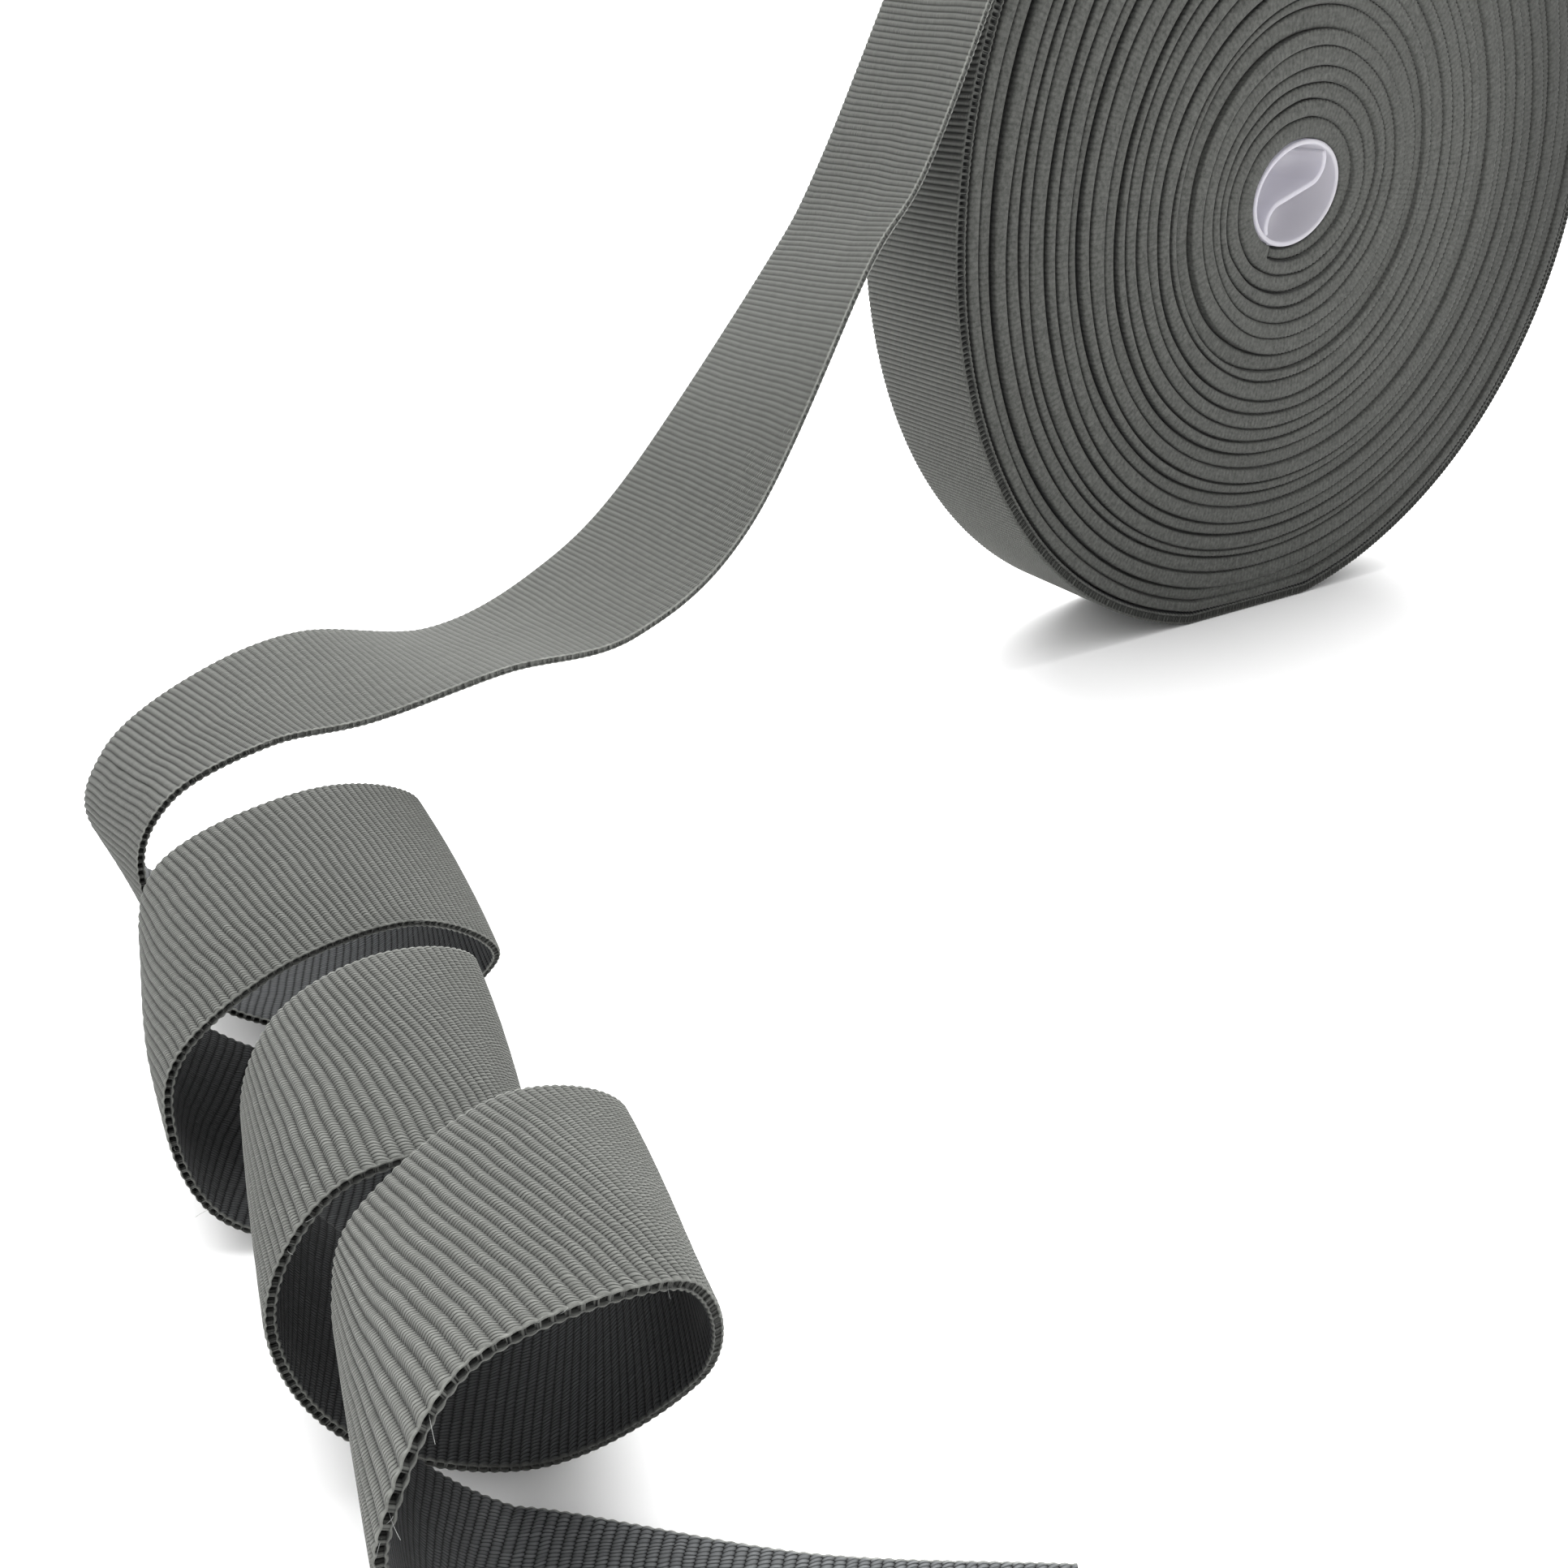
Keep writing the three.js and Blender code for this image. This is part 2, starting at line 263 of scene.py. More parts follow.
@dataclass(frozen=True)
class GrosgrainCloth:
    """Matt polyester grosgrain: rounded ribs wrapped by warp yarns, and open loops along its edges.

    Attributes:
        rib_pitch: the distance between ribs, in millimetres.
        yarn_pitch: the distance between warp yarns, in millimetres.
        face: the outer face's colour.
        inside: the inner face's colour, darker and cooler than the outer face's as painted shade
            for the inside of the coils.
        shade: the colour of the painted shade in the deepest gaps.
        groove_shade: how much painted shade darkens the grooves on the outer face.
        inside_groove_shade: how much painted shade darkens the grooves on the inner face.
        groove_sharpness: how narrow the grooves are.
        yarn_lean: how far a yarn steps sideways over one rib.
        yarn_drift: how far the yarns wander.
        drift_scale: how fine their wandering is.
        yarn_sharpness: how narrow the lines between yarns are.
        yarn_shade: how much painted shade darkens the lines between yarns.
        yarn_change: how much the yarns differ in tone.
        yarn_relief: the height of the yarns' bump, in metres.
        fibre_change: how much the tone changes along the fibres.
        fibre_scale: how fine that is along the ribbon and across it.
        cloud_change: how much the tone changes over the whole cloth.
        cloud_scale: how fine that is.
        end_smoothness: how far the ribs fade on the ribbon's rims.
        end_painted_shade: how light the rims stay under the painted shade that stands for the shade
            among the selvedge's loops.
        end_fuzz: how speckled the rims are.
        fuzz_scale: how fine the speckles are.
        fuzz_relief: the share of the bump that the speckles take.
        thread_painted_light: how much lighter the selvedge's thread is painted, for the light that
            the rim's edge catches.
        roughness: how matt the cloth is.
        roughness_change: how much that changes over the cloth.
        gloss: how much it shines.
        sheen: how much light its fibres catch from the side.
    """

    rib_pitch: float = RIB_PITCH
    yarn_pitch: float = 0.34
    face: tuple = colour(0.124, 0.127, 0.118)
    inside: tuple = colour(0.06, 0.0625, 0.064)
    shade: tuple = colour(0.0065, 0.0068, 0.0078)
    groove_shade: float = 0.6
    inside_groove_shade: float = 0.75
    groove_sharpness: float = 1.6
    yarn_lean: float = 0.9
    yarn_drift: float = 2.4
    drift_scale: float = 0.35
    yarn_sharpness: float = 3.0
    yarn_shade: float = 0.55
    yarn_change: float = 0.3
    yarn_relief: float = 0.00014
    fibre_change: float = 0.32
    fibre_scale: tuple = (2.3, 4.0)
    cloud_change: float = 0.2
    cloud_scale: float = 45.0
    end_smoothness: float = 0.7
    end_painted_shade: float = 0.63
    end_fuzz: float = 1.5
    fuzz_scale: float = 1500.0
    fuzz_relief: float = 0.6
    thread_painted_light: float = 1.1
    roughness: float = 0.82
    roughness_change: float = 0.12
    gloss: float = 0.12
    sheen: float = 0.05

    def material(self) -> bpy.types.Material:
        """Makes the cloth's material, which reads the values stored on the ribbon's points.

        Returns:
            The finished material.
        """
        g = Graph("grosgrain_cloth")
        along, across, end = g.attribute("along"), g.attribute("across"), g.attribute("end")
        inside = g.attribute("face").step(0.6, 0.9)
        plain = 1.0 - end

        # Ribs and the yarns that wrap them, each rib's yarns half a yarn over from the last one's.
        rib = along / self.rib_pitch
        phase = g.math("FRACT", rib)
        number = g.math("FLOOR", rib)
        ridge = g.math("SINE", phase * math.pi)
        groove = (1.0 - ridge) ** self.groove_sharpness
        wander = g.vector(along * self.drift_scale, across * self.drift_scale, 0.0)
        drift = g.noise(1.0, 1.0, wander)
        stagger = g.math("FRACT", number * 0.5) + self.yarn_lean * (phase - 0.5)
        yarn = across / self.yarn_pitch + (stagger + self.yarn_drift * drift)
        between_yarns = 0.5 + 0.5 * g.math("COSINE", yarn * (2 * math.pi))
        between_yarns = between_yarns**self.yarn_sharpness
        chance = g.random(g.vector(number, g.math("FLOOR", yarn), 0.0))

        scale_along, scale_across = self.fibre_scale
        fibre = g.noise(1.0, 2.0, g.vector(along * scale_along, across * scale_across, 3.0))
        cloud = g.noise(self.cloud_scale, 3.0, g.position())
        fuzz = g.noise(self.fuzz_scale, 3.0, g.position())

        # Painted shade in the grooves: stronger on the inner face, weaker on the rims and on the
        # smoother tape.
        depth = self.groove_shade + (self.inside_groove_shade - self.groove_shade) * inside
        depth = depth * (1.0 - self.end_smoothness * end) * g.attribute("relief")
        # Yarns differ in tone at random, and painted shade darkens the lines between them.
        marks = self.yarn_change * (chance - 0.5) - self.yarn_shade * between_yarns * (0.5 + chance)
        clouded = (1.0 - 0.5 * self.cloud_change) + self.cloud_change * cloud
        tone = (1.0 - depth * groove + marks * plain) * clouded
        # Painted light and shade stored on the points scale the tone.
        tone = tone * (1.0 + self.fibre_change * (fibre - 0.5) * plain) * g.attribute("painted_light")
        # Painted light: the selvedge's thread is made lighter where the rim's edge catches light.
        tone = tone * (1.0 + self.thread_painted_light * g.attribute("thread"))
        speckle = 1.0 + self.end_fuzz * end * (fuzz - 0.5)
        # Painted shade: the rims are darkened for the shade among the selvedge's loops.
        tone = tone * (1.0 - (1.0 - self.end_painted_shade) * end) * speckle

        # The inner face takes the darker, cooler inside colour: painted shade for the inside of the
        # coils.
        base = g.blend(inside * plain, self.face, self.inside)
        yarns = ridge * (1.0 - 0.75 * between_yarns) * (0.7 + 0.3 * chance)
        height = yarns * plain + self.fuzz_relief * fuzz * end
        inputs = {
            # Painted shade: the colour goes to the near-black shade in the open loops and in the
            # gaps between turns.
            "Base Color": g.blend(g.attribute("painted_shade"), g.scaled(base, tone), self.shade),
            "Roughness": self.roughness + self.roughness_change * (cloud - 0.5),
            "Normal": g.bump(height, self.yarn_relief),
            "Specular IOR Level": self.gloss,
            "Sheen Weight": self.sheen,
            "Sheen Roughness": 0.5,
        }
        return g.close(g.node("ShaderNodeBsdfPrincipled", {}, inputs).outputs[0])


@dataclass(frozen=True)
class CorePlastic:
    """Moulded white plastic with a faint lilac cast and fine flow marks, thin enough to let light
    through, with a painted emission standing for that light.

    Attributes:
        body: its colour.
        flow: the colour of its flow marks.
        flow_scale: how fine they are.
        painted_glow: the colour of the painted emission that stands for the light coming through
            it.
        painted_glow_strength: how strong that painted emission is.
        grain_scale: how fine its grain is.
        grain_relief: the height of the grain's bump, in metres.
        roughness: how matt it is where it is smoothest.
        roughness_change: how much more matt the flow marks are.
        translucency: how much light spreads inside it.
    """

    body: tuple = colour(0.31, 0.302, 0.328)
    flow: tuple = colour(0.275, 0.268, 0.297)
    flow_scale: float = 90.0
    painted_glow: tuple = colour(0.84, 0.82, 0.9)
    painted_glow_strength: float = 0.18
    grain_scale: float = 1500.0
    grain_relief: float = 0.00002
    roughness: float = 0.34
    roughness_change: float = 0.14
    translucency: float = 0.25

    def material(self) -> bpy.types.Material:
        """Makes the plastic's material.

        Returns:
            The finished material.
        """
        g = Graph("core_plastic")
        flow = g.noise(self.flow_scale, 2.0, g.position())
        grain = g.noise(self.grain_scale, 2.0, g.position())
        inputs = {
            "Base Color": g.blend(flow.step(0.35, 0.75), self.body, self.flow),
            "Roughness": self.roughness + self.roughness_change * flow,
            "Normal": g.bump(grain, self.grain_relief),
            "Emission Color": self.painted_glow,
            "Emission Strength": self.painted_glow_strength,
            "Subsurface Weight": self.translucency,
            "Subsurface Radius": (0.004, 0.004, 0.005),
            "Subsurface Scale": 1.0,
        }
        return g.close(g.node("ShaderNodeBsdfPrincipled", {}, inputs).outputs[0])


@dataclass(frozen=True)
class LooseFibre:
    """Pale single fibres that have worked out of the selvedge.

    Attributes:
        pale: the colour of the palest.
        dark: the colour of the darkest.
    """

    pale: tuple = colour(0.34, 0.35, 0.34)
    dark: tuple = colour(0.16, 0.165, 0.16)

    def material(self) -> bpy.types.Material:
        """Makes the fibres' material.

        Returns:
            The finished material.
        """
        g = Graph("loose_fibre")
        tone = g.noise(700.0, 1.0, g.position()).step(0.3, 0.7)
        inputs = {"Base Color": g.blend(tone, self.pale, self.dark), "Roughness": 0.6}
        return g.close(g.node("ShaderNodeBsdfPrincipled", {}, inputs).outputs[0])


@dataclass(frozen=True)
class PaleFloor:
    """A plain pale floor with the faintest unevenness.

    Attributes:
        light: its lighter colour.
        dull: its duller colour.
    """

    light: tuple = colour(0.96, 0.96, 0.96)
    dull: tuple = colour(0.94, 0.94, 0.94)

    def material(self) -> bpy.types.Material:
        """Makes the floor's material.

        Returns:
            The finished material.
        """
        g = Graph("pale_floor")
        pale = g.blend(g.noise(4.0, 2.0, g.position()), self.light, self.dull)
        return g.close(g.node("ShaderNodeBsdfDiffuse", {}, {"Color": pale}).outputs[0])


# ---------------------------------------------------------------- helpers


def aimed(heading: np.ndarray | float, tilt: np.ndarray | float) -> np.ndarray:
    """Unit vectors along a heading round Z from +X and a tilt above level, in degrees."""
    turn, up = np.radians(heading), np.radians(tilt)
    return np.stack([np.cos(up) * np.cos(turn), np.cos(up) * np.sin(turn), np.sin(up)], -1)


def unit(vectors: np.ndarray) -> np.ndarray:
    """The same directions with a length of 1."""
    return vectors / np.linalg.norm(vectors, axis=-1)[..., None]


def ease(value: np.ndarray | float) -> np.ndarray | float:
    """A smooth rise from 0 at 0 to 1 at 1."""
    held = np.clip(value, 0.0, 1.0)
    return held * held * (3 - 2 * held)


def rise(value: np.ndarray | float, start: float, span: float) -> np.ndarray | float:
    """A smooth rise from 0 at a start to 1 a span further on, which may be a span back."""
    return ease((value - start) / span)


def looked_up(table: tuple, places: np.ndarray) -> np.ndarray:
    """The values at places of a table of places and values, straight between its rows."""
    return np.interp(places, *zip(*table))


def between(
    a: np.ndarray, b: np.ndarray, c: np.ndarray, d: np.ndarray, share: np.ndarray
) -> np.ndarray:
    """A value on a smooth curve through four values in a row.

    Args:
        a: the first value.
        b: the second value, which a share of 0 gives.
        c: the third value, which a share of 1 gives.
        d: the fourth value.
        share: how far it lies from b to c.

    Returns:
        The value.
    """
    cubic = 3 * b - a - 3 * c + d
    square = 2 * a - 5 * b + 4 * c - d
    return (((cubic * share + square) * share + c - a) * share) / 2 + b


def smooth_through(rows: np.ndarray, places: np.ndarray) -> np.ndarray:
    """The values of a table on a smooth curve through all its rows.

    Args:
        rows: the table.
        places: fractional row numbers.

    Returns:
        One row for each place.
    """
    padded = np.vstack([2 * rows[:1] - rows[1:2], rows, 2 * rows[-1:] - rows[-2:-1]])
    i = np.clip(np.floor(places).astype(int), 0, len(rows) - 2)
    share = (places - i)[:, None]
    return between(padded[i], padded[i + 1], padded[i + 2], padded[i + 3], share)


def inward_waves(waves: tuple, inward: np.ndarray) -> np.ndarray:
    """The sum of waves that run inwards through the turns.

    Args:
        waves: each wave's number of waves a turn, size and start.
        inward: how many turns lie outside each place.

    Returns:
        The sum at each place.
    """
    return sum(size * np.sin(2 * math.pi * rate * inward + start) for rate, size, start in waves)


def round_waves(waves: tuple, angle: np.ndarray, inward: np.ndarray) -> np.ndarray:
    """The sum of waves that run round the roll and shift from turn to turn.

    Args:
        waves: each wave's number of waves round the roll, shift a turn, size and start.
        angle: each place's angle in degrees.
        inward: how many turns lie outside each place.

    Returns:
        The sum at each place.
    """
    return sum(
        size * np.sin(np.radians(count * angle) + shift * inward + start)
        for count, shift, size, start in waves
    )


def new_piece(name: str, bm: bmesh.types.BMesh) -> bpy.types.Object:
    """Makes an object of a bmesh and puts it in the scene.

    Args:
        name: the object's name.
        bm: its mesh, which is freed.

    Returns:
        The object.
    """
    mesh = bpy.data.meshes.new(name)
    bm.to_mesh(mesh)
    bm.free()
    piece = bpy.data.objects.new(name, mesh)
    bpy.context.scene.collection.objects.link(piece)
    return piece


def round_edges(bm: bmesh.types.BMesh, edges: list[bmesh.types.BMEdge], offset: float) -> None:
    """Rounds edges over an offset in millimetres."""
    shape = {"segments": 3, "profile": 0.5, "affect": "EDGES", "material": -1}
    bmesh.ops.bevel(bm, geom=edges, offset=offset * MM, **shape)


# ---------------------------------------------------------------- the ribbon's run


@dataclass(frozen=True)
class Weave:
    """Sizes of the cloth, in millimetres.

    Attributes:
        width: the ribbon's width.
        thickness: its thickness.
        rib_pitch: the distance between its ribs.
        outer_groove: how deep the grooves are on the outer face.
        inner_groove: how deep they are on the inner face.
        groove_sharpness: how narrow they are.
        slant: how far the ribs slant, by distance along.
        wavers: how the ribs waver: the size, and the waves by distance across and along.
        waver_rise: the distance from the roll over which they begin to.
        relief: how full the ribs are, by distance along, as the stretched tape is smoother.
        notch: how far the edge draws in at each groove.
        notch_from: the distance from the middle line beyond which it does.
        loop_depth: how deep the open loop at each rib's end is.
        loop_rise: where it starts beside a groove, and over what share of a rib it deepens.
        loop_shade: how dark the painted shade in it is.
        openness: how open the loops are, by distance along.
        closed_edge_painted_light: how much lighter the rim is painted where they are closed, for
            the edge that faces down away from the light.
        rim_from: the distance from the middle line beyond which the rim begins.
        thread_from: the distance beyond which the selvedge's thread lies.
        thread_fade: how far the thread fades towards the inner face.
        sink_from: the distance beyond which the near edge stands back in the roll.
        closed_give: what is left of an open gap's shade and fall where it is closed.
        inner_painted_light: painted light and shade on the inner face, by distance along: lighter
            where light reaches it, darker inside the coils.
        bulge_share: the bulge at the middle line, as a share of what a twisting bend works out to.
        most_bulge: the most that it works out to.
        bulge_rise: where along it starts, and over what length.
        bulge_spread: how many cross-sections it is spread over.
        least_bend: the least bend that it is worked out for, per millimetre.
    """

    width: float = 25.0
    thickness: float = 1.1
    rib_pitch: float = RIB_PITCH
    outer_groove: float = 0.24
    inner_groove: float = 0.24
    groove_sharpness: float = 1.3
    slant: tuple = (
        (0, 0), (20, 0.12), (100, 0.1), (150, -0.05),
        (290, 0.03), (440, 0), (480, -0.07), (500, -0.12),
    )
    wavers: tuple = ((0.1, 0.31, 0.11), (0.05, 0.83, -0.07))
    waver_rise: float = 15.0
    relief: tuple = ((0, 1.0), (45, 0.9), (75, 0.5), (150, 0.42), (168, 0.7), (185, 1.0))
    notch: float = 0.05
    notch_from: float = 12.0
    loop_depth: float = 0.9
    loop_rise: tuple = (0.15, 0.13)
    loop_shade: float = 0.75
    openness: tuple = ((-10, 1.0), (10, 0.3), (170, 0.3), (205, 1.0))
    closed_edge_painted_light: float = 0.6
    rim_from: float = 12.25
    thread_from: float = 12.41
    thread_fade: float = 0.6
    sink_from: float = 10.0
    closed_give: float = 0.03
    inner_painted_light: tuple = (
        (200, 2.3), (285, 2.2), (310, 0.95), (415, 0.85), (430, 0.7), (505, 0.7), (518, 2.2)
    )
    bulge_share: float = 1.5
    most_bulge: float = 1.2
    bulge_rise: tuple = (180.0, 30.0)
    bulge_spread: int = 241
    least_bend: float = 0.03


@dataclass
class Course:
    """A length of ribbon as closely spaced cross-sections, in millimetres.

    Attributes:
        middle: the middle of the outer face at each cross-section.
        edge: the unit direction to the near edge.
        reach: how far below the outer face the next turn lies, or the thickness where none does.
        thickness: the cloth's thickness.
        sink: how far the near edge stands back behind the ribbon's full width.
        gap: how open, from 0 to 1, the gap below the near edge is.
        painted_light: how much lighter or darker the cloth is painted, as painted light and shade.
        along: the distance along the ribbon, which is 0 where the loose end leaves the roll.
    """

    middle: np.ndarray
    edge: np.ndarray
    reach: np.ndarray
    thickness: np.ndarray
    sink: np.ndarray
    gap: np.ndarray
    painted_light: np.ndarray
    along: np.ndarray = field(default_factory=lambda: np.zeros(0))

    def joined(self, other: "Course") -> "Course":
        """This length followed by another.

        Args:
            other: the length that follows.

        Returns:
            Both, with the distance along counted from the join.
        """
        names = ("middle", "edge", "reach", "thickness", "sink", "gap", "painted_light")
        both = Course(*(np.concatenate([getattr(self, n), getattr(other, n)]) for n in names))
        steps = np.linalg.norm(np.diff(both.middle, axis=0), axis=1)
        both.along = np.concatenate([[0.0], np.cumsum(steps)])
        both.along -= both.along[len(self.middle)]
        return both

    def rates(self) -> tuple[np.ndarray, np.ndarray]:
        """How the middle and the edge's direction change along the ribbon."""
        middle, edge = (np.gradient(v, self.along, axis=0) for v in (self.middle, self.edge))
        return middle, edge

    def bulge(self, weave: Weave) -> np.ndarray:
        """How far the middle stands out beyond the edges where the ribbon twists as it bends.

        Args:
            weave: the cloth's sizes.

        Returns:
            The bulge at each cross-section, in millimetres.
        """
        run, swing = self.rates()
        run = unit(run)
        outward = unit(np.cross(run, self.edge))
        twist = np.abs((swing * outward).sum(1))
        bend = -(np.gradient(run, self.along, axis=0) * outward).sum(1)
        spread = np.exp(-np.linspace(-2, 2, weave.bulge_spread) ** 2)
        spread /= spread.sum()
        twist, bend = (np.convolve(values, spread, mode="same") for values in (twist, bend))
        height = (weave.width / 2) ** 2 / 2 * twist**2 / np.maximum(bend, weave.least_bend)
        return np.minimum(height, weave.most_bulge) * rise(self.along, *weave.bulge_rise)


@dataclass(frozen=True)
class CoilTurn:
    """One turn of the open coils at its leftmost place: an oval, its place and its axis.

    Attributes:
        centre: how far to the right the oval's middle lies.
        half_width: half the oval's width.
        height: the oval's height.
        y: how far back it lies.
        lean: how far it leans along the axis, from side to side.
        heading: the axis's heading round Z from +X, in degrees.
        tilt: how far the axis tilts above level, in degrees.
    """

    centre: float
    half_width: float
    height: float
    y: float
    lean: float
    heading: float
    tilt: float


@dataclass(frozen=True)
class Row:
    """A cross-section of the ribbon: the middle of its outer face and the aim of its near edge.

    Attributes:
        x: how far to the right the middle lies.
        y: how far back it lies.
        z: how high it lies.
        heading: the near edge's heading round Z from +X, in degrees.
        tilt: how far the near edge tilts above level, in degrees.
    """

    x: float
    y: float
    z: float
    heading: float
    tilt: float


@dataclass
class LooseRun:
    """The run of the loose end: a tape that sags away from the roll, open coils and a cut end.

    Attributes:
        tape: the cross-sections from the roll to the first coil.
        turns: the coils.
        tail: the cross-sections from the last coil to the cut end.
        lift: how far the coils lie above the surface.
        squareness: how far the ovals bulge at their shoulders.
        lean_angle: where on a turn its lean is greatest.
        first_angle: where the first coil starts.
        section_angle: the angle between cross-sections on the coils.
        sections: how many there are.
        steps: how many closer ones each is divided into.
    """

    tape: tuple = (
        Row(-71.5, -1.5, 126.5, -89, 2),
        Row(-92, -5.5, 90, -84, 4),
        Row(-105, -8.5, 75, -83, 8),
        Row(-132, -16.5, 46, -71, -4),
        Row(-152, -22, 36, -78, -4),
        Row(-170, -24, 34, -85, 6),
        Row(-188, -25.5, 35, -85, -7),
        Row(-202, -27, 34, -80, 1),
        Row(-214, -29.5, 29.5, -82, 8),
    )
    turns: tuple = (
        CoilTurn(-196.5, 22, 33.5, -33, 3.5, -86.5, -0.5),
        CoilTurn(-206, 14.5, 25.5, -66, 3, -96.5, -12),
        CoilTurn(-205.5, 13.5, 29, -101, 5, -100, 1.5),
        CoilTurn(-203.5, 15.5, 33, -126.8, 0.8, -99, 12),
    )
    tail: tuple = (
        Row(-218, -127, 27, -98.5, 12.5),
        Row(-218, -127.6, 17.4, -99.5, 15),
        Row(-215.8, -129.9, 9.5, -104, 17),
        Row(-211, -133.8, 1.2, -120, 9),
        Row(-195.5, -148, 0, -126, 0),
        Row(-178, -160, 0, -124, 0),
    )
    lift: float = 2.0
    squareness: float = 0.6
    lean_angle: float = 36.0
    first_angle: float = 180.0
    section_angle: float = 60.0
    sections: int = 18
    steps: int = 60

    def coil_sizes(self, angle: np.ndarray) -> np.ndarray:
        """The coils' sizes at angles in degrees, changing smoothly from turn to turn."""
        table = np.array([astuple(turn) for turn in self.turns], float)
        return smooth_through(table, (angle - self.first_angle) / 360)

    def coil_points(self, angle: np.ndarray) -> np.ndarray:
        """The middle of the outer face on the coils.

        Args:
            angle: places in degrees: 0 is on the right, 90 at the top and 180 on the left.

        Returns:
            A point for each place.
        """
        centre, half_width, height, y, lean = self.coil_sizes(angle)[:, :5].T
        turn = np.radians(angle)
        square = self.squareness * np.cos(2 * turn)
        x = centre + half_width * np.cos(turn) + square
        z = height / 2 * (1 + np.sin(turn)) + square + self.lift
        return np.stack([x, y - lean * np.cos(turn - math.radians(self.lean_angle)), z], -1)

    def coil_edges(self, angle: np.ndarray) -> np.ndarray:
        """The near edge's direction on the coils: along their axis, square to the ribbon's run.

        Args:
            angle: places in degrees.

        Returns:
            A unit direction for each place.
        """
        run = unit(self.coil_points(angle + 1) - self.coil_points(angle - 1))
        axis = aimed(*self.coil_sizes(angle)[:, 5:].T)
        return unit(axis - (axis * run).sum(1)[:, None] * run)

    def course(self, weave: Weave) -> Course:
        """The loose end's cross-sections, closely spaced.

        Args:
            weave: the cloth's sizes.

        Returns:
            The loose end's run.
        """
        angle = self.first_angle + self.section_angle * np.arange(self.sections)
        (tape, tape_edge), (tail, tail_edge) = (
            (
                np.array([(row.x, row.y, row.z) for row in rows], float),
                np.array([aimed(row.heading, row.tilt) for row in rows]),
            )
            for rows in (self.tape, self.tail)
        )
        middle = np.vstack([tape, self.coil_points(angle), tail])
        edge = np.vstack([tape_edge, self.coil_edges(angle), tail_edge])
        places = np.linspace(0, len(middle) - 1, self.steps * (len(middle) - 1) + 1)
        even = np.ones(len(places))
        return Course(
            middle=smooth_through(middle, places),
            edge=unit(smooth_through(edge, places)),
            reach=weave.thickness * even,
            thickness=weave.thickness * even,
            sink=0 * even,
            gap=even,
            painted_light=even,
        )


